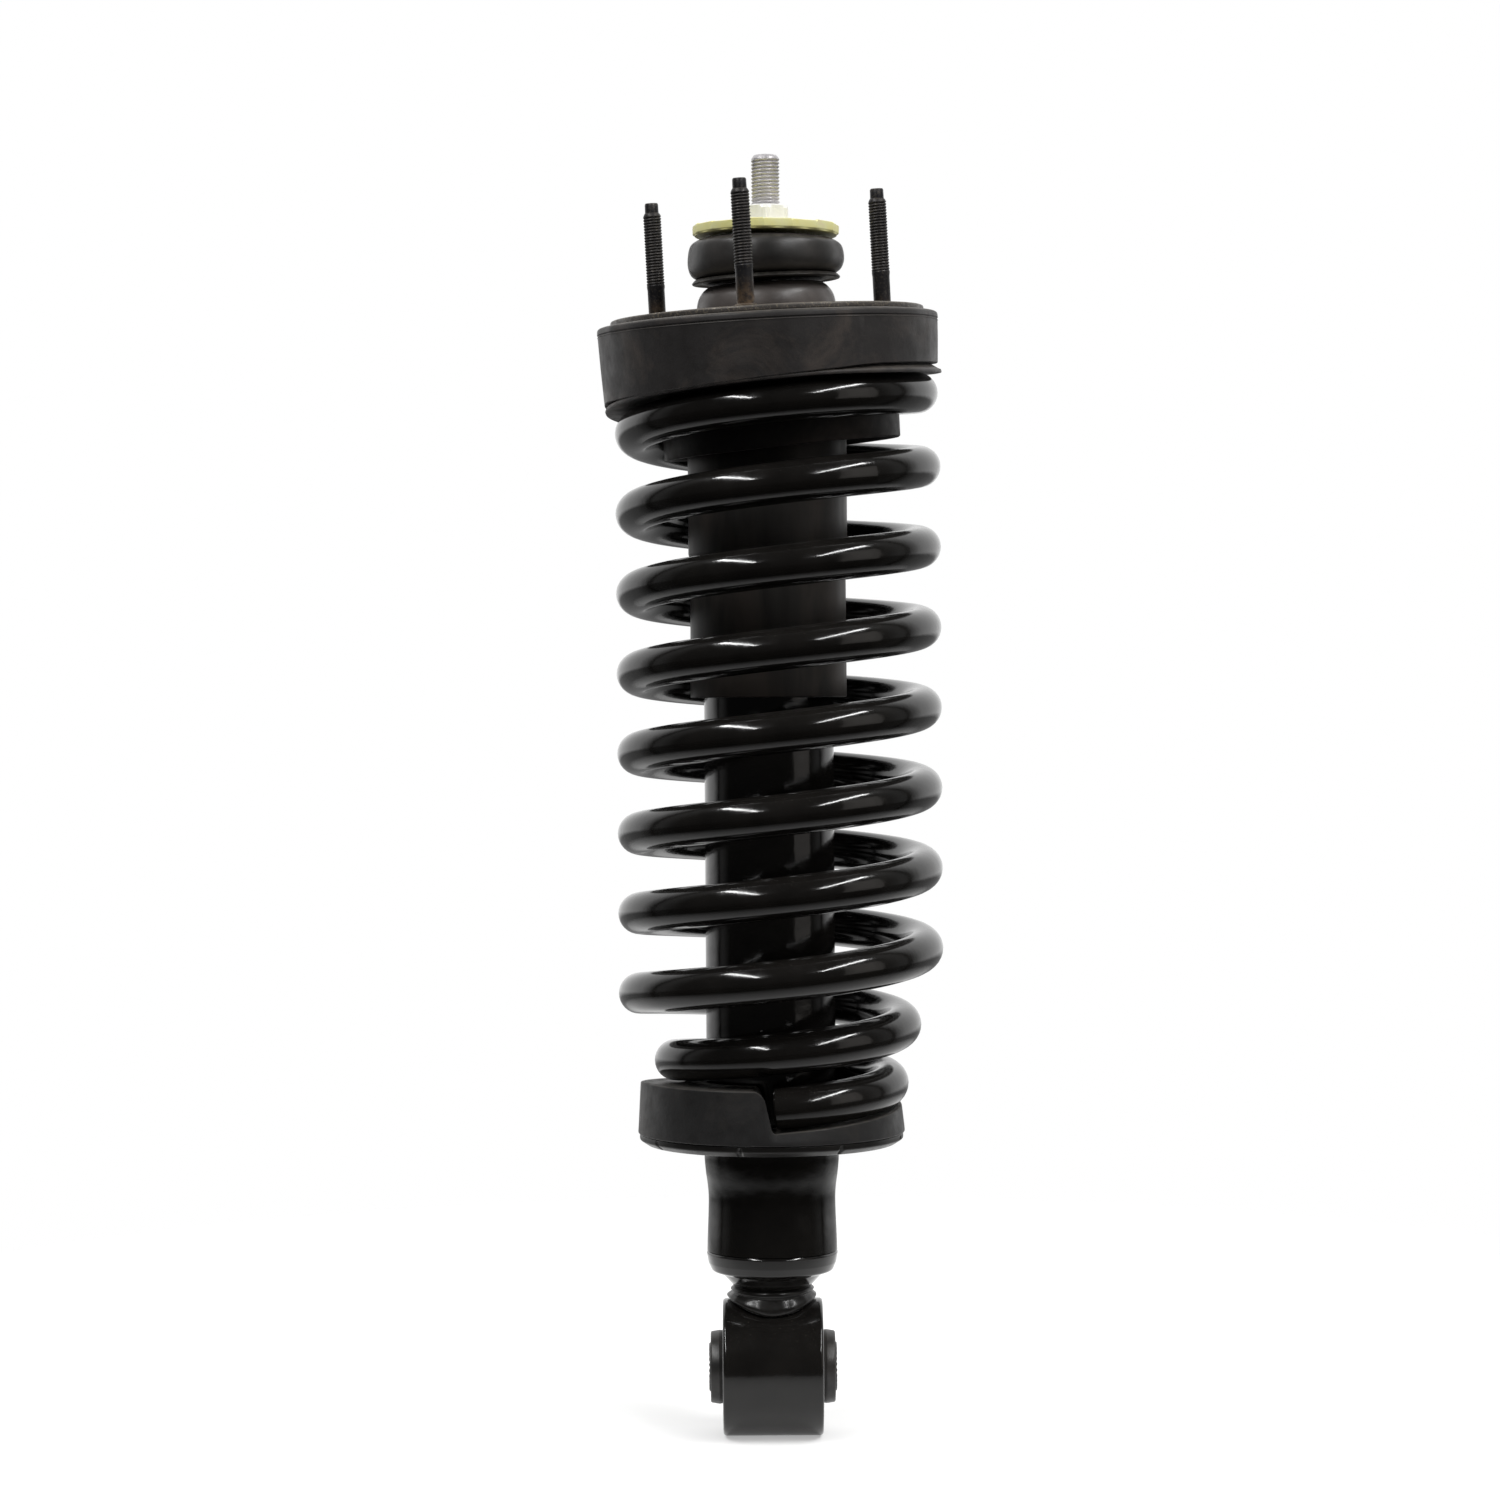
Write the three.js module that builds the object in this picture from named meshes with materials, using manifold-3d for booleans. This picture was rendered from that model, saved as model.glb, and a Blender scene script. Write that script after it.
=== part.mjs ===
// Coil-over strut assembly: damper with a lower eye, coil spring and rubber upper mount.
// Millimetres, +Z up along the damper, +X along the lower bolt, origin at the centre of the eye.
import * as THREE from "three";
import { mergeVertices } from "three/addons/utils/BufferGeometryUtils.js";
import Module from "manifold-3d";

const wasm = await Module();
wasm.setup();

const TURN = 2 * Math.PI;
const DEGREE = Math.PI / 180;
const GAP = 0.3; // between pieces that touch
const FINE = 36; // sides of the large round pieces
const COARSE = 20; // sides of the small and the hidden round pieces

// Lower eye
const EYE_RADIUS = 29;
const EYE_WIDTH = 42.5;
const EYE_BORE = 22.3;
const BUSH_COLLAR_RADIUS = 15.5;
const SLEEVE_LENGTH = 54.4;
const SLEEVE_RADIUS = 10.3;
const BOLT_HOLE_RADIUS = 7.25;

// Damper
const TUBE_RADIUS = 27.5;
const TUBE_INSIDE = 24.2;
const TUBE_BOTTOM = 50.2;
const TUBE_TOP = 302;
const PERCH_RADIUS = 56;
const PERCH_BOTTOM = 92.8;
const BARREL_RADIUS = 16; // inside of the pressure tube
const BARREL_BOTTOM = 62;
const BARREL_TOP = 283.7;
const ROD_RADIUS = 7;
const THREAD_RADIUS = 5.9; // M12
const ROD_SHOULDER = 421;
const ROD_TOP = 516;
const PISTON_BOTTOM = 246;
const PISTON_TOP = 259.3;
const PISTON_RADIUS = 15.2;
const TENON_RADIUS = 5;
const TENON_TOP = 262;

// Lower isolator
const ISOLATOR_RADIUS = 56.75;
const ISOLATOR_INSIDE = 31.5;
const ISOLATOR_BOTTOM = 98.3;
const RAMP_START = 105.4;
const RAMP_END = 123;
const STEP_ANGLE = -88; // degrees from +X, just right of the front

// Coil spring, counted in turns from its lower cut end at the front, rising to the right
const WIRE_RADIUS = 8.7;
const COIL_CENTRE = [4.5, 1.5];
const COIL_RADIUS = 60.35; // to the middle of the wire
const END_COIL_RADIUS = 45.3; // the small first turn
const COIL_START = -0.005;
const COIL_END = 9.62;
const COIL_BOTTOM = 114.8;
const COIL_PITCH = 34;
const END_PITCH = 22.4; // of the first and the last turn
const COIL_LEAN = 0.014; // rise per millimetre to the right, at the bottom
const COIL_LEAN_GAIN = 0.0011; // and how much more for each turn
const COIL_STEPS_PER_TURN = 20;
const WIRE_SIDES = 8;

// Upper mount, in a frame at the middle of its rubber, which leans when the spring is free
const MOUNT_PIVOT = 452;
const MOUNT_LEAN = -2.7; // degrees about Y, right side up
const MOUNT_NOD = 2; // degrees about X, front side down
const DRUM_TOP = -7;
const DRUM_TOP_RADIUS = 72.5;
const DRUM_BOTTOM_RADIUS = 71;
const DRUM_RING_BOTTOM = -16;
const DRUM_INSIDE = 26.5;
const DRUM_SEAT_INSIDE = 49.4;
const PLATE_THICKNESS = 2.3;
const PLATE_RADIUS = 66.5;
const PLATE_HOLE = 29.9;
const TOWER_RADIUS = 29.5;
const TOWER_BORE = 13;
const STUD_CIRCLE = 56.5;
const STUD_CIRCLE_SHIFT = -1.9; // of its centre along X
const STUD_RADIUS = 4; // M8
const STUD_LENGTH = 52.5; // above the plate
const STUD_HEAD_RADIUS = 7;
const STUD_HEAD_HEIGHT = 3.8;
const STUD_TIP_RADIUS = 2.6;
const STUD_TIP_LENGTH = 4;
const FRONT_STUD_ANGLE = -97; // degrees from +X
const FLANGE_LIFT = 0.7; // above the wire, which lies slanted under it
const FLANGE_THICKNESS = 3;
const SKIRT_RADIUS = 49;
const SKIRT_THICKNESS = 3;
const SKIRT_BOTTOM = -64;

const finishes = {
  gloss_black_paint: { color: 0x0b0b0c, roughness: 0.18, metalness: 0.1 },
  spring_coat: { color: 0x0a0a0b, roughness: 0.2, metalness: 0.1 },
  mount_rubber: { color: 0x2b2a29, roughness: 0.85, metalness: 0 },
  bushing_rubber: { color: 0x1f1f20, roughness: 0.6, metalness: 0 },
  boot_plastic: { color: 0x1a1b1b, roughness: 0.5, metalness: 0 },
  bump_foam: { color: 0xc9b78a, roughness: 0.9, metalness: 0 },
  black_steel: { color: 0x151516, roughness: 0.45, metalness: 0.8 },
  bright_steel: { color: 0xc9cacc, roughness: 0.3, metalness: 1 },
  yellow_zinc: { color: 0xc8b45a, roughness: 0.35, metalness: 1 },
  chrome_rod: { color: 0xdadcde, roughness: 0.08, metalness: 1 },
  sintered_iron: { color: 0x6a6865, roughness: 0.6, metalness: 0.8 },
  piston_band: { color: 0x7a5638, roughness: 0.6, metalness: 0 },
  seal_rubber: { color: 0x202022, roughness: 0.7, metalness: 0 },
};

// ---- shapes ----

// A profile of [radius, height] points turned about Z. It starts and ends on the axis, or closes.
function turned(points, sides) {
  const outline = points.map(([r, z]) => new THREE.Vector2(r, z));
  const onAxis = points[0][0] === 0;
  const signedArea = THREE.ShapeUtils.area(outline);
  if (signedArea < 0) outline.reverse();
  if (!onAxis) outline.push(outline[0].clone());
  const shape = new THREE.LatheGeometry(outline, sides);
  shape.rotateX(Math.PI / 2);
  return shape;
}

function ring(inner, outer, bottom, top, sides = COARSE) {
  return turned([[inner, bottom], [outer, bottom], [outer, top], [inner, top]], sides);
}

// Turns a piece made about Z so that its axis lies along X.
function alongX(shape) {
  return shape.rotateY(Math.PI / 2);
}

// A block wrapped round the axis: place(u) gives the angle, the two radii and the two heights at
// each share u of its length.
function wrapped(steps, place) {
  const shape = new THREE.BoxGeometry(1, 1, 1, steps, 1, 1);
  const corner = shape.attributes.position;
  for (let i = 0; i < corner.count; i += 1) {
    const { angle, inner, outer, bottom, top } = place(corner.getX(i) + 0.5);
    const radius = corner.getY(i) > 0 ? inner : outer;
    const height = corner.getZ(i) > 0 ? top : bottom;
    corner.setXYZ(i, radius * Math.cos(angle), radius * Math.sin(angle), height);
  }
  return shape;
}

// A regular polygon with its corners at a radius.
function polygon(sides, radius) {
  const points = [];
  for (let i = 0; i < sides; i += 1) {
    const angle = (i * TURN) / sides;
    points.push(new THREE.Vector2(radius * Math.cos(angle), radius * Math.sin(angle)));
  }
  return new THREE.Shape(points);
}

function hexagon(acrossFlats, hole, bottom, top) {
  const outline = polygon(6, acrossFlats / Math.sqrt(3));
  outline.holes.push(new THREE.Path().absarc(0, 0, hole, 0, TURN, true));
  const depth = top - bottom;
  const curveSegments = COARSE / 2;
  const shape = new THREE.ExtrudeGeometry(outline, { depth, bevelEnabled: false, curveSegments });
  return shape.translate(0, 0, bottom);
}

// ---- booleans ----

function solid(shape) {
  const bare = shape.clone();
  bare.deleteAttribute("normal");
  bare.deleteAttribute("uv");
  const merged = mergeVertices(bare, 1e-4);
  const vertProperties = new Float32Array(merged.attributes.position.array);
  const triVerts = new Uint32Array(merged.index.array);
  return new wasm.Manifold(new wasm.Mesh({ numProp: 3, vertProperties, triVerts }));
}

function shapeOf(made) {
  const mesh = made.getMesh();
  const shape = new THREE.BufferGeometry();
  shape.setAttribute("position", new THREE.BufferAttribute(mesh.vertProperties, 3));
  shape.setIndex(new THREE.BufferAttribute(mesh.triVerts, 1));
  shape.computeVertexNormals();
  return shape;
}

function joined(...shapes) {
  return shapeOf(shapes.map(solid).reduce((whole, part) => whole.add(part)));
}

function cut(shape, ...tools) {
  return shapeOf(tools.map(solid).reduce((rest, tool) => rest.subtract(tool), solid(shape)));
}

// ---- the coil's centre line ----

function smoothStep(value, from, to) {
  const share = Math.min(1, Math.max(0, (value - from) / (to - from)));
  return share * share * (3 - 2 * share);
}

// The area under smoothStep up to value.
function smoothStepSum(value, from, to) {
  const share = Math.min(1, Math.max(0, (value - from) / (to - from)));
  return (to - from) * (share ** 3 - share ** 4 / 2) + Math.max(0, value - to);
}

function coilPoint(turns) {
  const angle = turns * TURN - Math.PI / 2;
  const widening = smoothStep(turns, 0.9, 1.75);
  const radius = END_COIL_RADIUS + (COIL_RADIUS - END_COIL_RADIUS) * widening;
  const opening = (COIL_PITCH - END_PITCH) * smoothStepSum(turns, 0.6, 1.8);
  const closing = (COIL_PITCH - END_PITCH) * smoothStepSum(turns, 8.7, 9.5);
  const lean = COIL_LEAN + COIL_LEAN_GAIN * turns;
  const x = radius * Math.cos(angle);
  const z = COIL_BOTTOM + END_PITCH * turns + opening - closing + lean * x;
  return new THREE.Vector3(COIL_CENTRE[0] + x, COIL_CENTRE[1] + radius * Math.sin(angle), z);
}

class CoilLine extends THREE.Curve {
  getPoint(share, target = new THREE.Vector3()) {
    return target.copy(coilPoint(COIL_START + share * (COIL_END - COIL_START)));
  }
}

function coilSpring() {
  const section = polygon(WIRE_SIDES, WIRE_RADIUS);
  const line = new CoilLine();
  line.arcLengthDivisions = 800;
  const steps = Math.round((COIL_END - COIL_START) * COIL_STEPS_PER_TURN);
  return new THREE.ExtrudeGeometry(section, { steps, bevelEnabled: false, extrudePath: line });
}

// ---- the leaning upper mount ----

const mount = new THREE.Group();
mount.position.z = MOUNT_PIVOT;
mount.rotation.set(MOUNT_NOD * DEGREE, MOUNT_LEAN * DEGREE, 0);
mount.updateMatrixWorld(true);

// Where the top of the wire lies in the mount's frame, at a number of turns.
function wireTopInMount(turns) {
  const point = mount.worldToLocal(coilPoint(turns));
  const sweep = (turns - COIL_END) * TURN;
  const endPoint = mount.worldToLocal(coilPoint(COIL_END));
  const endAngle = Math.atan2(endPoint.y, endPoint.x);
  const angle = Math.atan2(point.y, point.x);
  const whole = Math.round((endAngle + sweep - angle) / TURN) * TURN;
  return { angle: angle + whole, height: point.z + WIRE_RADIUS };
}

// A helical block over the coil's last turn, from above the wire up to a height.
function overLastTurn(inner, outer, bottomOf, topOf, shortenBy = 0) {
  const from = COIL_END - 0.985 + shortenBy;
  const to = COIL_END + 0.004 - shortenBy;
  return wrapped(FINE, (share) => {
    const { angle, height } = wireTopInMount(from + share * (to - from));
    return { angle, inner, outer, bottom: bottomOf(height), top: topOf(height) };
  });
}

const seatAbove = FLANGE_LIFT + FLANGE_THICKNESS + GAP;

const studPlaces = [0, 1, 2].map((i) => {
  const angle = (FRONT_STUD_ANGLE + i * 120) * DEGREE;
  return [STUD_CIRCLE_SHIFT + STUD_CIRCLE * Math.cos(angle), STUD_CIRCLE * Math.sin(angle)];
});

function atStuds(makeTool) {
  return studPlaces.map(([x, y]) => makeTool().translate(x, y, 0));
}

function mountDrum() {
  const body = turned(
    [
      [DRUM_INSIDE, DRUM_RING_BOTTOM],
      [DRUM_BOTTOM_RADIUS + 0.6, DRUM_RING_BOTTOM],
      [DRUM_TOP_RADIUS, DRUM_TOP - 2.5],
      [DRUM_TOP_RADIUS - 1.2, DRUM_TOP - 0.8],
      [DRUM_TOP_RADIUS - 4, DRUM_TOP],
      [DRUM_INSIDE, DRUM_TOP],
    ],
    FINE,
  );
  const ramp = overLastTurn(
    DRUM_SEAT_INSIDE,
    DRUM_BOTTOM_RADIUS,
    (wireTop) => wireTop + seatAbove,
    () => DRUM_RING_BOTTOM + 3,
  );
  const pocket = () =>
    new THREE.CylinderGeometry(STUD_HEAD_RADIUS + GAP, STUD_HEAD_RADIUS + GAP, 8, 12)
      .rotateX(Math.PI / 2)
      .translate(0, 0, DRUM_TOP - STUD_HEAD_HEIGHT - 2 * GAP + 4);
  return cut(joined(body, ramp), ...atStuds(pocket));
}

function upperIsolator() {
  const skirt = ring(SKIRT_RADIUS - SKIRT_THICKNESS, SKIRT_RADIUS, SKIRT_BOTTOM, SKIRT_BOTTOM + 17, FINE);
  const wall = overLastTurn(
    SKIRT_RADIUS - SKIRT_THICKNESS,
    SKIRT_RADIUS,
    () => SKIRT_BOTTOM + 15,
    (wireTop) => wireTop + FLANGE_LIFT + FLANGE_THICKNESS,
  );
  const flange = overLastTurn(
    SKIRT_RADIUS - 1,
    DRUM_BOTTOM_RADIUS,
    (wireTop) => wireTop + FLANGE_LIFT,
    (wireTop) => wireTop + FLANGE_LIFT + FLANGE_THICKNESS,
    0.001,
  );
  return joined(skirt, wall, flange);
}

function topPlate() {
  const bottom = DRUM_TOP + GAP;
  const plate = ring(PLATE_HOLE, PLATE_RADIUS, bottom, bottom + PLATE_THICKNESS, FINE);
  const hole = () =>
    new THREE.CylinderGeometry(STUD_RADIUS + GAP, STUD_RADIUS + GAP, 20, 12)
      .rotateX(Math.PI / 2)
      .translate(0, 0, bottom);
  return cut(plate, ...atStuds(hole));
}

function stud() {
  const headTop = DRUM_TOP;
  const tip = DRUM_TOP + GAP + PLATE_THICKNESS + STUD_LENGTH;
  return turned(
    [
      [0, headTop - STUD_HEAD_HEIGHT],
      [STUD_HEAD_RADIUS, headTop - STUD_HEAD_HEIGHT],
      [STUD_HEAD_RADIUS, headTop],
      [STUD_RADIUS, headTop],
      [STUD_RADIUS, tip - STUD_TIP_LENGTH - 1.2],
      [STUD_TIP_RADIUS, tip - STUD_TIP_LENGTH],
      [STUD_TIP_RADIUS, tip],
      [0, tip],
    ],
    12,
  );
}

function mountTower() {
  const bottom = DRUM_TOP + GAP;
  return turned(
    [
      [TOWER_BORE, bottom],
      [TOWER_RADIUS, bottom],
      [TOWER_RADIUS, 0],
      [28.2, 3.5],
      [25.4, 5.8],
      [24.4, 6.5],
      [TOWER_BORE, 6.5],
    ],
    FINE,
  );
}

// ---- the damper ----

function eyeRing() {
  const half = EYE_WIDTH / 2;
  const edge = 1.2;
  const profile = [
    [EYE_BORE, -half],
    [EYE_RADIUS - edge, -half],
    [EYE_RADIUS, edge - half],
    [EYE_RADIUS, half - edge],
    [EYE_RADIUS - edge, half],
    [EYE_BORE, half],
  ];
  return alongX(turned(profile, FINE));
}

function bushRubber() {
  const collarEnd = SLEEVE_LENGTH / 2 - 0.7;
  const half = EYE_WIDTH / 2;
  const side = [
    [BUSH_COLLAR_RADIUS - 0.9, collarEnd],
    [BUSH_COLLAR_RADIUS, collarEnd - 0.9],
    [BUSH_COLLAR_RADIUS, half + 1],
    [20.1, half - 0.6],
  ];
  const inner = SLEEVE_RADIUS + GAP;
  const otherSide = side.map(([radius, along]) => [radius, -along]).reverse();
  return alongX(turned([[inner, collarEnd], ...side, ...otherSide, [inner, -collarEnd]], COARSE));
}

function weldBead() {
  const plug = turned(
    [[0, 22], [17, 22], [18.8, 27], [17, 31], [18.2, 34], [17.4, 35.6], [0, 35.6]],
    COARSE,
  );
  const eye = alongX(ring(5, EYE_RADIUS + GAP, -30, 30, FINE));
  return cut(plug, eye);
}

function baseCup() {
  return turned(
    [
      [0, 35.9],
      [17.6, 35.9],
      [19.4, 37.7],
      [20.5, 39.9],
      [25, 43.3],
      [26.5, 45.4],
      [27.85, 49.3],
      [27.5, TUBE_BOTTOM - GAP],
      [23.2, TUBE_BOTTOM - GAP],
      [20, 44],
      [14, 39.4],
      [0, 39.4],
    ],
    FINE,
  );
}

function reserveTube() {
  return turned(
    [
      [TUBE_INSIDE, TUBE_BOTTOM],
      [27, TUBE_BOTTOM],
      [26.4, 60],
      [26.15, 71],
      [26.8, 80],
      [28.4, 89],
      [28.5, 91.5],
      [TUBE_RADIUS, 97],
      [TUBE_RADIUS, TUBE_TOP],
      [TUBE_INSIDE, TUBE_TOP],
    ],
    FINE,
  );
}

function springPerch() {
  const bottom = PERCH_BOTTOM;
  return turned(
    [
      [28.9, bottom],
      [PERCH_RADIUS - 3, bottom],
      [PERCH_RADIUS, bottom + 2.4],
      [PERCH_RADIUS, bottom + 5.2],
      [PERCH_RADIUS - 1.6, bottom + 5.2],
      [PERCH_RADIUS - 3.4, bottom + 2.6],
      [31.2, bottom + 2.6],
      [31.2, bottom + 11],
      [28.9, bottom + 11],
    ],
    FINE,
  );
}

function lowerIsolator() {
  const base = turned(
    [
      [ISOLATOR_INSIDE, PERCH_BOTTOM + 2.9],
      [PERCH_RADIUS - 3.8, PERCH_BOTTOM + 2.9],
      [PERCH_RADIUS - 2, ISOLATOR_BOTTOM],
      [ISOLATOR_RADIUS, ISOLATOR_BOTTOM],
      [ISOLATOR_RADIUS - 0.2, RAMP_START],
      [ISOLATOR_INSIDE, RAMP_START],
    ],
    FINE,
  );
  const ramp = wrapped(FINE, (share) => {
    const angle = (STEP_ANGLE + share * 359.6) * DEGREE;
    const x = END_COIL_RADIUS * Math.cos(angle) - COIL_CENTRE[0];
    const y = END_COIL_RADIUS * Math.sin(angle) - COIL_CENTRE[1];
    const seen = Math.atan2(y, x);
    const turns = (seen + Math.round((angle - seen) / TURN) * TURN + Math.PI / 2) / TURN;
    const underWire = coilPoint(turns).z - WIRE_RADIUS - GAP;
    const top = Math.max(RAMP_START + 0.1, Math.min(underWire, RAMP_END));
    const outer = ISOLATOR_RADIUS - 0.4 * GAP;
    return { angle, inner: ISOLATOR_INSIDE, outer, bottom: ISOLATOR_BOTTOM + 2, top };
  });
  return joined(base, ramp);
}

function tubeCap() {
  return turned(
    [[8.2, 302.4], [27.8, 302.4], [27.8, 294], [28.9, 294], [28.9, 303.8], [27.6, 304.8], [8.2, 304.8]],
    FINE,
  );
}

function rodGuide() {
  const bore = ROD_RADIUS + 0.2;
  return turned(
    [[bore, 277], [15.6, 277], [15.6, 284], [23.8, 284], [23.8, 296.2], [bore, 296.2]],
    COARSE,
  );
}

function baseValveBody() {
  return turned(
    [[3.2, 50], [20, 50], [20, 53], [17.6, 56], [17.6, 61.6], [15.6, 61.6], [15.6, 66], [3.2, 66]],
    COARSE,
  );
}

function baseValveBolt() {
  return turned([[0, 47.5], [3, 47.5], [3, 67.8], [5.5, 67.8], [5.5, 71], [0, 71]], 16);
}

// ---- the rod and what is on it ----

function pistonRod() {
  return turned(
    [
      [0, PISTON_BOTTOM - 10],
      [TENON_RADIUS, PISTON_BOTTOM - 10],
      [TENON_RADIUS, TENON_TOP],
      [ROD_RADIUS, TENON_TOP],
      [ROD_RADIUS, ROD_SHOULDER],
      [THREAD_RADIUS, ROD_SHOULDER],
      [THREAD_RADIUS, ROD_TOP - 1.5],
      [THREAD_RADIUS - 1.4, ROD_TOP],
      [0, ROD_TOP],
    ],
    COARSE,
  );
}

function piston() {
  const bore = TENON_RADIUS + GAP;
  return turned(
    [
      [bore, PISTON_BOTTOM],
      [PISTON_RADIUS, PISTON_BOTTOM],
      [PISTON_RADIUS, 248.2],
      [14.2, 248.2],
      [14.2, 256.8],
      [PISTON_RADIUS, 256.8],
      [PISTON_RADIUS, PISTON_TOP],
      [bore, PISTON_TOP],
    ],
    COARSE,
  );
}

function bootCup() {
  return turned(
    [[7.4, 418], [29.9, 418], [29.9, 408], [31.9, 408], [31.9, 420.7], [7.4, 420.7]],
    COARSE,
  );
}

function bumpStop() {
  return turned(
    [
      [7.6, 360],
      [15, 360],
      [19, 366],
      [17, 373],
      [21, 380],
      [18.5, 388],
      [22, 396],
      [19.5, 404],
      [22.5, 411],
      [22.5, 417.6],
      [7.6, 417.6],
    ],
    COARSE,
  );
}

function upperBushing() {
  return turned(
    [
      [10, 463.3],
      [26, 463.3],
      [31, 465],
      [33.1, 469.5],
      [33.1, 473.5],
      [31, 478],
      [27, 479.6],
      [10, 480.3],
    ],
    FINE,
  );
}

function cuppedWasher() {
  return turned(
    [[6.4, 481.5], [29.6, 481.5], [30.8, 482.5], [30.8, 486], [29.4, 486], [28.6, 484], [6.4, 484]],
    FINE,
  );
}

function rodNut() {
  const flange = ring(THREAD_RADIUS + 0.4, 14.5, 484.3, 486.6);
  return joined(hexagon(19, THREAD_RADIUS + 0.4, 486.4, 494.6), flange);
}

// ---- the assembly ----

const strut = new THREE.Group();
strut.name = "strut_assembly";
strut.add(mount);

function place(name, finish, shape, group = strut) {
  const mesh = new THREE.Mesh(shape, new THREE.MeshStandardMaterial(finishes[finish]));
  mesh.name = name;
  group.add(mesh);
  return mesh;
}

place("eye_ring", "gloss_black_paint", eyeRing());
place("bush_shell", "black_steel", alongX(ring(20.4, 22, -20.9, 20.9)));
place("bush_rubber", "bushing_rubber", bushRubber());
const sleeveEnd = SLEEVE_LENGTH / 2;
place("eye_sleeve", "black_steel", alongX(ring(BOLT_HOLE_RADIUS, SLEEVE_RADIUS, -sleeveEnd, sleeveEnd)));
place("weld_bead", "gloss_black_paint", weldBead());
place("base_cup", "gloss_black_paint", baseCup());
place("reserve_tube", "gloss_black_paint", reserveTube());
place("spring_perch", "gloss_black_paint", springPerch());
place("lower_isolator", "mount_rubber", lowerIsolator());
place("coil_spring", "spring_coat", coilSpring());
place("tube_cap", "black_steel", tubeCap());
place("rod_seal", "seal_rubber", ring(ROD_RADIUS + 0.2, 23.8, 296.6, 302));
place("rod_guide", "sintered_iron", rodGuide());
place("pressure_tube", "bright_steel", ring(BARREL_RADIUS, 17.8, BARREL_BOTTOM, BARREL_TOP));
place("base_valve_body", "sintered_iron", baseValveBody());
place("base_valve_disc", "bright_steel", ring(3.3, 12, 66.3, 67.5));
place("base_valve_bolt", "bright_steel", baseValveBolt());

place("piston_rod", "chrome_rod", pistonRod());
place("rebound_stop", "seal_rubber", ring(ROD_RADIUS + GAP, 13, 270, 276.6));
place("compression_discs", "bright_steel", ring(TENON_RADIUS + GAP, 12.5, 259.7, 261.6));
place("piston", "sintered_iron", piston());
place("piston_band", "piston_band", ring(14.5, 15.75, 248.5, 256.5));
place("rebound_discs", "bright_steel", ring(TENON_RADIUS + GAP, 13, 244, 245.7));
place("piston_nut", "bright_steel", hexagon(15, TENON_RADIUS + GAP, 237, 243.7));
place("bump_stop", "bump_foam", bumpStop());
place("boot_cup", "black_steel", bootCup());
place("dust_boot", "boot_plastic", ring(32.25, 33.75, 285, 420.4, FINE));
place("lower_washer", "bright_steel", ring(THREAD_RADIUS + 0.4, 26, 421.3, 424.3));
place("spacer_sleeve", "bright_steel", ring(THREAD_RADIUS + 0.4, 8.6, 424.6, 481.2));
place("cupped_washer", "yellow_zinc", cuppedWasher());
place("rod_nut", "bright_steel", rodNut());

place("lower_bushing", "bushing_rubber", ring(10, 22, 425.8, 441.5));
place("upper_bushing", "bushing_rubber", upperBushing());
place("bushing_ring", "black_steel", ring(20, 32.2, 461.6, 463, FINE));

place("mount_drum", "mount_rubber", mountDrum(), mount);
place("upper_isolator", "mount_rubber", upperIsolator(), mount);
place("top_plate", "black_steel", topPlate(), mount);
place("mount_tower", "bushing_rubber", mountTower(), mount);
const studNames = ["stud_front", "stud_right", "stud_left"];
studPlaces.forEach(([x, y], i) => {
  place(studNames[i], "black_steel", stud(), mount).position.set(x, y, 0);
});

export default strut;
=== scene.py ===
"""Looks of the coil-over strut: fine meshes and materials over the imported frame. Lengths are in
millimetres until a mesh is made, +Z up the damper, +X along the lower bolt, -Y the front."""

import math

import bmesh
import bpy
from mathutils import Matrix, Vector, noise

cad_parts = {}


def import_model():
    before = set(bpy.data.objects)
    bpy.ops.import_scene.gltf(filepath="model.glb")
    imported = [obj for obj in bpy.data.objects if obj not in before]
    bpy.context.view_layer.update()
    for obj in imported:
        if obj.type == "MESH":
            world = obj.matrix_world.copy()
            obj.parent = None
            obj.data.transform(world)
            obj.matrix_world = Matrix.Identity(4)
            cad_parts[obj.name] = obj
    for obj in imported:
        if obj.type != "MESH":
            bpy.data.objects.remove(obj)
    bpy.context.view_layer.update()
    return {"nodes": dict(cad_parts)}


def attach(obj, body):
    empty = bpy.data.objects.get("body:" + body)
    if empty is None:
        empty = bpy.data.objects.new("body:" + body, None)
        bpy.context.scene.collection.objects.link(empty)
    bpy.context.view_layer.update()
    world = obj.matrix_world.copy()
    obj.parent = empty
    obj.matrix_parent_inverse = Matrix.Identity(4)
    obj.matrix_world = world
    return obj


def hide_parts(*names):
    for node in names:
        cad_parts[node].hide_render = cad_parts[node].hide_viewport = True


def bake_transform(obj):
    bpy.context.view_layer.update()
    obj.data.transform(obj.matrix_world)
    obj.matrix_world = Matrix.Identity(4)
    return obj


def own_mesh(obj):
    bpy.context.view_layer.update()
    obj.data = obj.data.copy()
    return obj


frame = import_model()

MM = 0.001
TURN = 2 * math.pi

# Lower eye
EYE_RADIUS = 29
EYE_HALF_WIDTH = 21.25
EYE_BORE = 22.3
SLEEVE_HALF_LENGTH = 27.2
WELD_TOP = 34.8

# Lower seat of the spring
ISOLATOR_RADIUS = 56.75
ISOLATOR_INSIDE = 31.5
ISOLATOR_LOW = 105.4
ISOLATOR_HIGH = 123
STEP_LOW_ANGLE = -87.6  # degrees from +X at the rim, where the step's foot is
STEP_HIGH_ANGLE = -98.1  # and its top
STEP_INSIDE_LOW = -91.4  # the same where the wire's end stands against the step
STEP_INSIDE_HIGH = -103
STEP_FACE = (0.5, 0.77)  # shares of the way down at which the steep face begins and ends
STEP_DROPS = (0.21, 0.69, 0.1)  # shares of the step's height on the shoulder, face and foot

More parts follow.
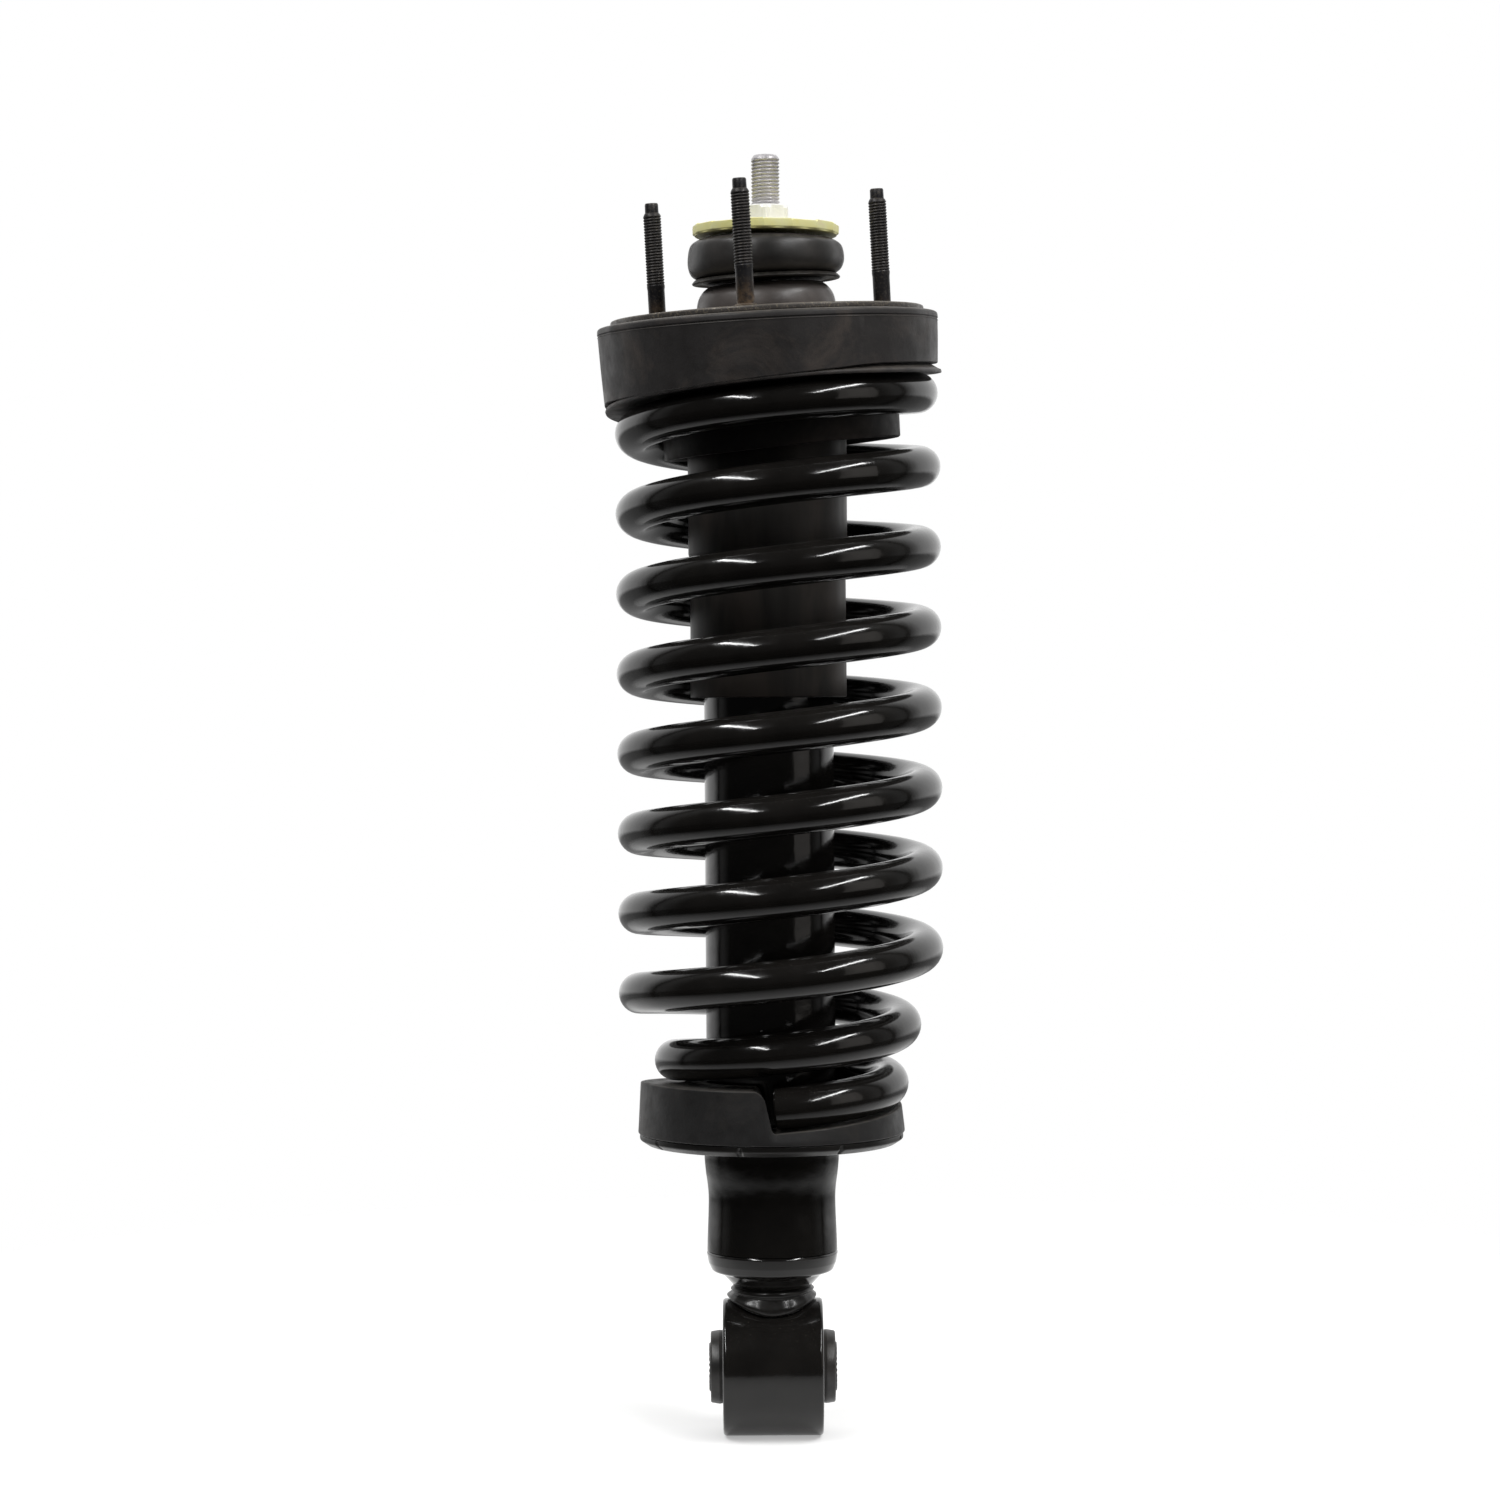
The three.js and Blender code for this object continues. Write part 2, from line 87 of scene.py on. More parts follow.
# Spring, counted in turns from its lower cut end
WIRE_RADIUS = 8.7
WIRE_CHAMFER = 0.7
COIL_CENTRE = (4.5, 1.5)
COIL_RADIUS = 60.35
END_COIL_RADIUS = 45.3
COIL_START = -0.011
COIL_END = 9.62
COIL_BOTTOM = 114.8
COIL_PITCH = 34
END_PITCH = 22.4
COIL_LEAN = 0.014
COIL_LEAN_GAIN = 0.0011
ROD_TURN = 7.6  # the wire is cut into a new piece here
BUSHING_TURN = 8.1  # and again here

# Upper mount, in its own leaning frame
MOUNT_PIVOT = 452
MOUNT_LEAN = math.radians(-2.7)
MOUNT_NOD = math.radians(2)
RING_HEIGHT = 462.7
DRUM_TOP = -7
DRUM_TOP_RADIUS = 72.5
DRUM_TAPER = 0.05
DRUM_SEAT_INSIDE = 49.4
DRUM_RIM_HEIGHT = -33.8
DRUM_RIM_SLANT = 5.1
SEAT_ABOVE_WIRE = 3.4
FLANGE_ABOVE_WIRE = 0.6
FLANGE_LIP = 70.7
FLANGE_LIP_EXTRA = 2.1
FLANGE_DROOP = 1.1
SKIRT_BOTTOM = -61.8
SKIRT_SLANT = 2.6
SKIRT_SHIFT = (3.6, 1.2)
PLATE_TOP = -4.4
STUD_CIRCLE = 56.5
STUD_CIRCLE_SHIFT = -1.9
STUD_ANGLES = (-97, 23, 143)
STUD_NAMES = ("stud_front", "stud_right", "stud_left")

MOUNT = (
    Matrix.Translation((0, 0, MOUNT_PIVOT))
    @ Matrix.Rotation(MOUNT_NOD, 4, "X")
    @ Matrix.Rotation(MOUNT_LEAN, 4, "Y")
)
LEAN = (
    Matrix.Translation((0, 0, RING_HEIGHT))
    @ Matrix.Rotation(MOUNT_NOD, 4, "X")
    @ Matrix.Rotation(MOUNT_LEAN, 4, "Y")
)
ALONG_X = Matrix.Rotation(math.pi / 2, 4, "Y")

# Top of the rod
WASHER_FLOOR = 480.9
WASHER_FLAT = 22.5  # degrees
NUT_FLANGE_TOP = 485.9
NUT_ACROSS_FLATS = 19
NUT_CROWN = 490.6

# Room, in metres
FLOOR_FADE = (0.14, 0.55)  # from its middle
FLOOR_MIDDLE = (0, 0.22)
STRIP_SIZE = (0.2, 3.2)
STRIP_HEIGHT = 2.5
STRIP_AIM = 0.3
STRIP_POWER = 60
PANEL_PLACE = (1.45, -0.85, 0.75)
PANEL_COLOUR = (1, 0.95, 0.9)
REFLECTED_GREYS = ((0.53, 0.2), (0.585, 0.18), (0.6, 0.02), (0.622, 0.02), (0.645, 0.3))
REFLECTED_DARK = (0.4, 0.03)
REFLECTED_WHITE = (0.745, 1)
CAMERA_PLACE = (-0.0081, -1.6107, 0.288)
CAMERA_DOWN = math.radians(0.9)
CAMERA_ROLL = math.radians(-0.38)
CAMERA_LENS = 90.96  # millimetres


# ---- materials ----


class Finish:
    """A procedural material on the object's own coordinates, in metres."""

    def __init__(self, name, **sockets):
        self.material = bpy.data.materials.new(name)
        self.material.use_nodes = True
        self.tree = self.material.node_tree
        self.shader = self.tree.nodes["Principled BSDF"]
        for socket, value in sockets.items():
            self.shader.inputs[socket.replace("_", " ")].default_value = value
        self.place = self.tree.nodes.new("ShaderNodeTexCoord").outputs["Object"]
        self.normal = None

    def node(self, kind, **settings):
        made = self.tree.nodes.new(kind)
        for key, value in settings.items():
            setattr(made, key, value)
        return made

    def link(self, source, target):
        self.tree.links.new(source, target)

    def stretched(self, x, y, z):
        made = self.node("ShaderNodeMapping")
        made.inputs["Scale"].default_value = (x, y, z)
        self.link(self.place, made.inputs["Vector"])
        return made.outputs["Vector"]

    def noise(self, scale, detail=4, rough=0.55, distortion=0.0, place=None):
        made = self.node("ShaderNodeTexNoise")
        made.inputs["Scale"].default_value = scale
        made.inputs["Detail"].default_value = detail
        made.inputs["Roughness"].default_value = rough
        made.inputs["Distortion"].default_value = distortion
        self.link(place or self.place, made.inputs["Vector"])
        return made.outputs["Fac"]

    def cells(self, scale):
        made = self.node("ShaderNodeTexVoronoi", feature="F1")
        made.inputs["Scale"].default_value = scale
        self.link(self.place, made.inputs["Vector"])
        return made.outputs["Distance"]

    def upward(self):
        """1 on faces that look up, 0 on walls and undersides."""
        geometry = self.node("ShaderNodeNewGeometry")
        parts = self.node("ShaderNodeSeparateXYZ")
        self.link(geometry.outputs["Normal"], parts.inputs[0])
        return self.spread(parts.outputs["Z"], 0.25, 0.95, 0, 1)

    def edges(self, low, high):
        """1 along sharp outer edges."""
        geometry = self.node("ShaderNodeNewGeometry")
        return self.spread(geometry.outputs["Pointiness"], low, high, 0, 1)

    def spread(self, source, from_low, from_high, to_low, to_high):
        """The source's range mapped to another, and held at its ends."""
        made = self.node("ShaderNodeMapRange")
        for key, value in zip(
            ("From Min", "From Max", "To Min", "To Max"),
            (from_low, from_high, to_low, to_high),
        ):
            made.inputs[key].default_value = value
        self.link(source, made.inputs["Value"])
        return made.outputs["Result"]

    def times(self, first, second):
        made = self.node("ShaderNodeMath", operation="MULTIPLY")
        for socket, value in zip(made.inputs, (first, second)):
            if isinstance(value, (int, float)):
                socket.default_value = value
            else:
                self.link(value, socket)
        return made.outputs[0]

    def shades(self, source, *stops):
        made = self.node("ShaderNodeValToRGB")
        ramp = made.color_ramp
        while len(ramp.elements) < len(stops):
            ramp.elements.new(0.5)
        for element, (where, colour) in zip(ramp.elements, stops):
            element.position = where
            element.color = (*colour, 1)
        self.link(source, made.inputs["Fac"])
        return made.outputs["Color"]

    def mixed(self, share, first, second):
        made = self.node("ShaderNodeMix", data_type="RGBA")
        self.link(share, made.inputs["Factor"])
        for socket, value in zip((made.inputs[6], made.inputs[7]), (first, second)):
            if isinstance(value, tuple):
                socket.default_value = (*value, 1)
            else:
                self.link(value, socket)
        return made.outputs[2]

    def colour(self, source):
        self.link(source, self.shader.inputs["Base Color"])

    def roughness(self, source):
        self.link(source, self.shader.inputs["Roughness"])

    def bump(self, height, distance):
        """Adds relief of about a distance in millimetres."""
        made = self.node("ShaderNodeBump")
        made.inputs["Strength"].default_value = 1
        made.inputs["Distance"].default_value = distance * MM
        self.link(height, made.inputs["Height"])
        if self.normal:
            self.link(self.normal, made.inputs["Normal"])
        self.normal = made.outputs["Normal"]
        self.link(self.normal, self.shader.inputs["Normal"])


def black_paint(name, sag, dust, shine=1.0):
    """Black paint: a hard clear surface with faint orange peel, sags and settled dust."""
    paint = Finish(
        name, Coat_Weight=0.2 * shine, Coat_Roughness=0.04, Specular_IOR_Level=0.3 + 0.15 * shine
    )
    tone = paint.shades(
        paint.noise(60, 3), (0.3, (0.006, 0.0055, 0.005)), (0.75, (0.011, 0.01, 0.009))
    )
    specks = paint.spread(paint.noise(1500, 2), 0.66, 0.74, 0, 1)
    settled = paint.times(specks, paint.times(paint.upward(), dust))
    paint.colour(paint.mixed(settled, tone, (0.11, 0.1, 0.085)))
    dull = 0.3 * (1 - shine)
    paint.roughness(paint.spread(paint.noise(180, 5), 0.3, 0.75, 0.09 + dull, 0.19 + 1.2 * dull))
    paint.bump(paint.noise(55, 2), 0.35 * sag)
    paint.bump(paint.noise(420, 2), 0.03)
    return paint.material


def dusty_rubber(name, tone, dusty, brown, grain):
    """Moulded rubber with fine grain, bloom, brown dust patches and rubbed edges."""
    rubber = Finish(name, Specular_IOR_Level=0.42, Sheen_Weight=0.12, Sheen_Roughness=0.4)
    base = rubber.shades(
        rubber.noise(75, 6, 0.6),
        (0.3, tuple(0.72 * part for part in tone)),
        (0.7, tuple(1.2 * part for part in tone)),
    )
    patches = rubber.spread(rubber.noise(30, 7, 0.68, 0.8), 0.47, 0.68, 0, 0.8)
    smudged = rubber.mixed(patches, base, brown)
    drifts = rubber.spread(rubber.noise(260, 5), 0.35, 0.65, 0.1, dusty)
    settled = rubber.times(rubber.upward(), drifts)
    dusted = rubber.mixed(settled, smudged, (0.115, 0.1, 0.08))
    rubbed = rubber.spread(rubber.noise(150, 4), 0.4, 0.7, 0, 0.5)
    worn = rubber.times(rubber.edges(0.53, 0.62), rubbed)
    rubber.colour(rubber.mixed(worn, dusted, (0.1, 0.095, 0.09)))
    rubber.roughness(rubber.spread(rubber.noise(120, 5), 0.3, 0.7, 0.42, 0.66))
    rubber.bump(rubber.noise(95, 3), 0.25)
    rubber.bump(rubber.noise(1900, 3, 0.7), grain)
    return rubber.material


def satin_rubber(name, dark, light, dusty):
    """Smooth pressed rubber with a soft shine and a little settled dust."""
    rubber = Finish(name, Specular_IOR_Level=0.55)
    tone = rubber.shades(rubber.noise(60, 6, 0.6), (0.32, dark), (0.68, light))
    drifts = rubber.spread(rubber.noise(300, 4), 0.4, 0.7, 0.02, dusty)
    settled = rubber.times(rubber.upward(), drifts)
    rubber.colour(rubber.mixed(settled, tone, (0.12, 0.108, 0.095)))
    rubber.roughness(rubber.spread(rubber.noise(140, 5), 0.3, 0.7, 0.32, 0.46))
    rubber.bump(rubber.noise(120, 2), 0.12)
    rubber.bump(rubber.noise(1700, 3, 0.7), 0.025)
    return rubber.material


def moulded_plastic():
    """Smooth black plastic with faint upright streaks, brown dust and scuffs."""
    plastic = Finish("boot_plastic", Specular_IOR_Level=0.28)
    streaks = plastic.noise(150, 4, place=plastic.stretched(1, 1, 0.12))
    tone = plastic.shades(streaks, (0.3, (0.03, 0.0285, 0.027)), (0.75, (0.05, 0.047, 0.044)))
    scuffs = plastic.spread(plastic.noise(48, 7, 0.7, 1.4), 0.6, 0.7, 0, 0.3)
    cloudy = plastic.noise(36, 4, 0.6, 0.5, plastic.stretched(1, 1, 0.2))
    drifts = plastic.spread(cloudy, 0.45, 0.62, 0, 0.75)
    tone = plastic.mixed(drifts, tone, (0.078, 0.066, 0.058))
    plastic.colour(plastic.mixed(scuffs, tone, (0.05, 0.047, 0.042)))
    plastic.roughness(plastic.spread(streaks, 0.3, 0.75, 0.4, 0.56))
    plastic.bump(plastic.noise(40, 2), 0.3)
    plastic.bump(plastic.noise(1500, 3), 0.018)
    return plastic.material


def steel(
    name,
    dark,
    light,
    roughness,
    metallic=1.0,
    stain=None,
    stain_share=0.4,
    grain=0.012,
    along=(1, 1, 0.08),
):
    """Bare or plated steel with fine marks drawn along or turned round it, and stains."""
    metal = Finish(name, Metallic=metallic)
    marks = metal.noise(900, 4, place=metal.stretched(*along))
    tone = metal.shades(metal.noise(110, 5), (0.3, dark), (0.72, light))
    if stain:
        patches = metal.spread(metal.noise(85, 6, 0.65, 0.8), 0.5, 0.72, 0, stain_share)
        tone = metal.mixed(patches, tone, stain)
    metal.colour(tone)
    metal.roughness(metal.spread(marks, 0.3, 0.75, roughness * 0.8, roughness * 1.3))
    metal.bump(marks, grain)
    return metal.material


def dusty_steel(name, dark, light, settled_dust, rusty_below=None):
    """Blackened steel under settled dust, browned below a height in metres."""
    metal = Finish(name, Metallic=0.35, Specular_IOR_Level=0.45)
    tone = metal.shades(metal.noise(140, 5, 0.6), (0.3, dark), (0.72, light))
    if rusty_below:
        parts = metal.node("ShaderNodeSeparateXYZ")
        metal.link(metal.place, parts.inputs[0])
        low = metal.spread(parts.outputs["Z"], rusty_below - 0.004, rusty_below + 0.006, 1, 0)
        blotches = metal.spread(metal.noise(420, 5, 0.65), 0.38, 0.6, 0.15, 0.85)
        tone = metal.mixed(metal.times(low, blotches), tone, (0.13, 0.085, 0.05))
    drifts = metal.spread(metal.noise(230, 6, 0.65), 0.36, 0.66, 0.25, settled_dust)
    tone = metal.mixed(metal.times(metal.upward(), drifts), tone, (0.2, 0.175, 0.14))
    specks = metal.spread(metal.noise(1100, 3, 0.6), 0.54, 0.64, 0, 0.6 * settled_dust)
    tone = metal.mixed(specks, tone, (0.26, 0.22, 0.16))
    rubbed = metal.spread(metal.noise(260, 4), 0.4, 0.65, 0.1, 0.7)
    worn = metal.times(metal.edges(0.52, 0.6), rubbed)
    metal.colour(metal.mixed(worn, tone, (0.2, 0.18, 0.16)))
    metal.roughness(metal.spread(metal.noise(300, 5), 0.3, 0.7, 0.34, 0.58))
    metal.bump(metal.noise(800, 4), 0.03)
    return metal.material


def yellow_plating():
    """Yellow chromate over zinc: pale gold that drifts to rose and green."""
    plating = Finish("yellow_zinc", Metallic=0.08)
    drift = plating.noise(55, 4, 0.6, 0.9)
    plating.colour(
        plating.shades(
            drift,
            (0.28, (0.82, 0.82, 0.36)),
            (0.45, (0.97, 0.92, 0.38)),
            (0.58, (0.98, 0.96, 0.5)),
            (0.74, (0.94, 0.84, 0.5)),
        )
    )
    plating.roughness(plating.spread(plating.noise(420, 4), 0.3, 0.7, 0.32, 0.5))
    plating.bump(plating.noise(700, 3), 0.015)
    return plating.material


def foam():
    """Open foam the colour of sand, with fine pores."""
    skin = Finish("bump_foam", Specular_IOR_Level=0.3, Subsurface_Weight=0.05)
    tone = skin.shades(skin.noise(130, 5), (0.3, (0.48, 0.38, 0.22)), (0.7, (0.64, 0.54, 0.36)))
    skin.colour(tone)
    pores = skin.cells(1400)
    skin.roughness(skin.spread(pores, 0.1, 0.6, 0.7, 0.92))
    skin.bump(pores, 0.12)
    return skin.material


PAINTS = (  # name, sag, dust, shine
    ("gloss_black_paint", 1.0, 0.5, 1.0),
    ("matt_black_paint", 0.6, 0.7, 0.3),
    ("weld_paint", 0.5, 0.8, 0.45),
    ("spring_coat", 0.35, 0.4, 1.0),
)
DUSTY_RUBBERS = (  # name, tone, dust, brown of the dust, grain
    ("mount_rubber", (0.025, 0.0225, 0.022), 0.6, (0.075, 0.06, 0.051), 0.05),
    ("seat_rubber", (0.011, 0.0105, 0.0105), 0.35, (0.028, 0.024, 0.021), 0.04),
)
SATIN_RUBBERS = (  # name, dark, light, dust
    ("bushing_rubber", (0.013, 0.0125, 0.012), (0.034, 0.031, 0.029), 0.35),
    ("tower_rubber", (0.05, 0.043, 0.04), (0.1, 0.087, 0.081), 0.6),
)
DUSTY_STEELS = (  # name, dark, light, dust, brown below
    ("plate_steel", (0.05, 0.045, 0.042), (0.1, 0.091, 0.083), 0.95, None),
    ("stud_steel", (0.008, 0.008, 0.01), (0.02, 0.019, 0.021), 0.2, 0.452),
    ("ring_steel", (0.005, 0.005, 0.005), (0.01, 0.0095, 0.009), 0.06, None),
)
STEELS = (  # name, dark, light, roughness, metallic, stain, share of the stain
    ("bright_steel", (0.6, 0.61, 0.62), (0.8, 0.8, 0.81), 0.27, 1.0, (0.5, 0.5, 0.48)),
    ("rod_steel", (0.52, 0.505, 0.515), (0.68, 0.66, 0.675), 0.38, 0.45, (0.42, 0.4, 0.41)),
    ("zinc_white", (0.86, 0.86, 0.84), (0.95, 0.95, 0.93), 0.35, 0.15, (0.86, 0.85, 0.7), 0.3),
)


def all_finishes():
    """Every material by name."""
    finishes = {entry[0]: black_paint(*entry) for entry in PAINTS}
    finishes |= {entry[0]: dusty_rubber(*entry) for entry in DUSTY_RUBBERS}
    finishes |= {entry[0]: satin_rubber(*entry) for entry in SATIN_RUBBERS}
    finishes["seal_rubber"] = dusty_rubber(
        "seal_rubber", (0.025, 0.025, 0.026), 0.2, (0.035, 0.03, 0.027), 0.02
    )
    finishes["boot_plastic"] = moulded_plastic()
    finishes["bump_foam"] = foam()
    finishes["black_steel"] = steel(
        "black_steel",
        (0.016, 0.016, 0.018),
        (0.04, 0.039, 0.042),
        0.33,
        0.75,
        (0.075, 0.055, 0.038),
        0.35,
    )
    finishes |= {entry[0]: dusty_steel(*entry) for entry in DUSTY_STEELS}
    finishes |= {entry[0]: steel(*entry) for entry in STEELS}
    finishes["yellow_zinc"] = yellow_plating()
    finishes["chrome_rod"] = steel(
        "chrome_rod", (0.72, 0.73, 0.74), (0.8, 0.8, 0.81), 0.12, grain=0.004, along=(0.06, 0.06, 1)
    )
    finishes["sintered_iron"] = steel(
        "sintered_iron", (0.26, 0.255, 0.25), (0.4, 0.39, 0.38), 0.55, 0.9, grain=0.05
    )
    finishes["piston_band"] = steel(
        "piston_band", (0.28, 0.18, 0.11), (0.4, 0.27, 0.17), 0.6, 0.0, grain=0.02
    )
    return finishes


FINISHES = all_finishes()
KEPT_NODES = {
    "tube_cap": "black_steel",
    "rod_seal": "seal_rubber",
    "rod_guide": "sintered_iron",
    "pressure_tube": "bright_steel",
    "base_valve_body": "sintered_iron",
    "base_valve_disc": "bright_steel",
    "base_valve_bolt": "bright_steel",
    "rebound_stop": "seal_rubber",
    "compression_discs": "bright_steel",
    "piston": "sintered_iron",
    "piston_band": "piston_band",
    "rebound_discs": "bright_steel",
    "piston_nut": "bright_steel",
    "boot_cup": "black_steel",
    "lower_washer": "bright_steel",
    "spacer_sleeve": "bright_steel",
    "lower_bushing": "bushing_rubber",
}


# ---- meshes ----


def unit(vector):
    """The flat vector at length 1."""
    length = math.hypot(*vector)
    return (vector[0] / length, vector[1] / length)


def rounded(outline, fillet, steps=4):
    """A closed outline of (radius, height) or (radius, height, fillet) points, corners rounded."""
    made = []
    for i, point in enumerate(outline):
        size = point[2] if len(point) > 2 else fillet
        before = outline[i - 1]
        after = outline[(i + 1) % len(outline)]
        if size <= 0:
            made.append((point[0], point[1]))
            continue
        back = (before[0] - point[0], before[1] - point[1])
        ahead = (after[0] - point[0], after[1] - point[1])
        back_unit = unit(back)
        ahead_unit = unit(ahead)
        cosine = back_unit[0] * ahead_unit[0] + back_unit[1] * ahead_unit[1]
        half = math.acos(max(-1, min(1, cosine))) / 2
        if half > 1.5:
            made.append((point[0], point[1]))
            continue
        reach = min(size / math.tan(half), 0.48 * math.hypot(*back), 0.48 * math.hypot(*ahead))
        for k in range(steps + 1):
            t = k / steps
            side = (1 - t) ** 2 * reach
            other = t**2 * reach
            made.append(
                (
                    point[0] + back_unit[0] * side + ahead_unit[0] * other,
                    point[1] + back_unit[1] * side + ahead_unit[1] * other,
                )
            )
    return made


def curved(points, steps=5):
    """Points on a smooth curve through the given points."""
    made = []
    for i in range(len(points) - 1):
        p0 = points[max(i - 1, 0)]
        p1 = points[i]
        p2 = points[i + 1]
        p3 = points[min(i + 2, len(points) - 1)]
        for k in range(steps):
            t = k / steps
            made.append(
                tuple(
                    0.5
                    * (
                        2 * b
                        + (c - a) * t
                        + (2 * a - 5 * b + 4 * c - d) * t * t
                        + (3 * b - a - 3 * c + d) * t**3
                    )
                    for a, b, c, d in zip(p0, p1, p2, p3)
                )
            )
    made.append(tuple(points[-1]))
    return made


def ring_faces(sides, rows):
    """Faces of a closed ring whose points run through each of its sections in turn."""
    faces = []
    for i in range(sides):
        n = (i + 1) % sides
        for j in range(rows):
            k = (j + 1) % rows
            faces.append((i * rows + j, n * rows + j, n * rows + k, i * rows + k))
    return faces


def revolved(outline, sides, bend=None):
    """A closed outline of (radius, height) turned about Z. bend(angle, radius, height) may move
    a point within its own half plane."""
    points = []
    for i in range(sides):
        angle = i * TURN / sides
        for radius, height in outline:
            if bend:
                radius, height = bend(angle, radius, height)
            points.append((radius * math.cos(angle), radius * math.sin(angle), height))
    return points, ring_faces(sides, len(outline))


def placed(name, data):
    """A new object in the scene."""
    made = bpy.data.objects.new(name, data)
    bpy.context.scene.collection.objects.link(made)
    return made


def make(name, shape, finish, body, stands_for, at=Matrix(), sharp=35):
    """A mesh in metres from points and faces in millimetres, smooth but for its sharp edges. It
    stands for a CAD node and rides on a body, or on none."""
    points, faces = shape
    mesh = bpy.data.meshes.new(name)
    mesh.from_pydata([at @ Vector(point) * MM for point in points], [], faces)
    work = bmesh.new()
    work.from_mesh(mesh)
    bmesh.ops.remove_doubles(work, verts=work.verts, dist=1e-7)
    bmesh.ops.dissolve_degenerate(work, edges=work.edges, dist=1e-8)
    bmesh.ops.recalc_face_normals(work, faces=work.faces)
    work.to_mesh(mesh)
    work.free()
    mesh.shade_smooth()
    mesh.set_sharp_from_angle(angle=math.radians(sharp))
    mesh.materials.append(FINISHES[finish])
    piece = placed(name, mesh)
    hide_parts(*stands_for)
    if body:
        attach(piece, body)
    return piece


def threaded(stem_points, thread_from, thread_to, pitch, depth, sides):
    """A round stem of (radius, height) points on the axis, with a screw thread over a stretch."""
    rows_per_pitch = 8
    heights = []
    for (r0, z0), (r1, z1) in zip(stem_points, stem_points[1:]):
        steps = 1
        if z1 > thread_from and z0 < thread_to and z1 - z0 > pitch:
            steps = round((z1 - z0) / pitch * rows_per_pitch)
        for k in range(steps):
            heights.append((r0 + (r1 - r0) * k / steps, z0 + (z1 - z0) * k / steps))
    heights.append(stem_points[-1])

    def cut_thread(angle, radius, height):
        if not thread_from <= height <= thread_to or radius < 0.5:
            return radius, height
        ease = min(1, (height - thread_from) / (1.5 * pitch), (thread_to - height) / (0.5 * pitch))
        phase = (height / pitch - angle / TURN) % 1
        groove = max(0, 1 - abs(2 * phase - 1) * 1.25)
        return radius - depth * groove * max(0, ease), height

    return revolved(heights, sides, cut_thread)


def smooth_step(value, start, end):
    """0 before the start, 1 after the end, and smooth between them."""
    share = min(1, max(0, (value - start) / (end - start)))
    return share * share * (3 - 2 * share)


def smooth_step_sum(value, start, end):
    """The area under smooth_step up to a value."""
    share = min(1, max(0, (value - start) / (end - start)))
    return (end - start) * (share**3 - share**4 / 2) + max(0, value - end)


# ---- the spring ----


def coil_point(turns):
    """The middle of the wire at a number of turns."""
    angle = turns * TURN - math.pi / 2
    radius = END_COIL_RADIUS + (COIL_RADIUS - END_COIL_RADIUS) * smooth_step(turns, 0.9, 1.75)
    opening = (COIL_PITCH - END_PITCH) * smooth_step_sum(turns, 0.6, 1.8)
    closing = (COIL_PITCH - END_PITCH) * smooth_step_sum(turns, 8.6, 9.4)
    x = radius * math.cos(angle)
    lean = (COIL_LEAN + COIL_LEAN_GAIN * turns) * x
    height = COIL_BOTTOM + END_PITCH * turns + opening - closing + lean
    middle = COIL_CENTRE[0] - smooth_step(turns, 8.7, 9.2)
    return Vector((middle + x, COIL_CENTRE[1] + radius * math.sin(angle), height))


def wire(first, last):
    """The swept wire between two turns, and the turn of each of its points. The spring's own
    ends have a chamfered edge."""
    sides = 32
    rings = round((last - first) * 90)
    stations = [(first + (last - first) * i / rings, WIRE_RADIUS, 0) for i in range(rings + 1)]
    if first == COIL_START:
        stations[0] = (first, WIRE_RADIUS, WIRE_CHAMFER)
        stations.insert(0, (first, WIRE_RADIUS - WIRE_CHAMFER, 0))
    if last == COIL_END:
        stations[-1] = (last, WIRE_RADIUS, -WIRE_CHAMFER)
        stations.append((last, WIRE_RADIUS - WIRE_CHAMFER, 0))
    points = []
    turns_of = []
    for turns, radius, along in stations:
        middle = coil_point(turns)
        forward = (coil_point(turns + 1e-4) - coil_point(turns - 1e-4)).normalized()
        middle = middle + forward * along
        outward = Vector((middle.x - COIL_CENTRE[0], middle.y - COIL_CENTRE[1], 0))
        outward = (outward - forward * outward.dot(forward)).normalized()
        upward = outward.cross(forward)
        for j in range(sides):
            angle = j * TURN / sides
            points.append(middle + (outward * math.cos(angle) + upward * math.sin(angle)) * radius)
            turns_of.append(turns)
    faces = [tuple(range(sides))]
    count = len(stations)
    for i in range(count - 1):
        for j in range(sides):
            k = (j + 1) % sides
            faces.append((i * sides + j, i * sides + k, (i + 1) * sides + k, (i + 1) * sides + j))
    faces.append(tuple((count - 1) * sides + j for j in range(sides)))
    return (points, faces), turns_of


def spring_part(name, turns):
    """A stretch of the wire between two turns, riding on no body."""
    shape, turns_of = wire(*turns)
    part = make(name, shape, "spring_coat", None, ("coil_spring",), sharp=30)
    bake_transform(part)


spring_part("spring", (COIL_START, ROD_TURN))
spring_part(
    "spring_upper_turn",
    (ROD_TURN, BUSHING_TURN),
)
spring_part(
    "spring_seated_turn",
    (BUSHING_TURN, COIL_END),
)


# ---- the lower eye ----

make(
    "lower_eye",
    revolved(
        rounded(
            [
                (EYE_BORE, -EYE_HALF_WIDTH, 0.8),
                (EYE_RADIUS, -EYE_HALF_WIDTH, 1.7),
                (EYE_RADIUS, EYE_HALF_WIDTH, 1.7),
                (EYE_BORE, EYE_HALF_WIDTH, 0.8),
            ],
            1,
            6,
        ),
        128,
    ),
    "gloss_black_paint",
    "damper",
    ("eye_ring",),
    ALONG_X,
)
make(
    "eye_bush_shell",
    revolved(rounded([(20.4, -20.9), (22, -20.9), (22, 20.9), (20.4, 20.9)], 0.35), 96),
    "black_steel",
    "damper",
    ("bush_shell",),
    ALONG_X,
)


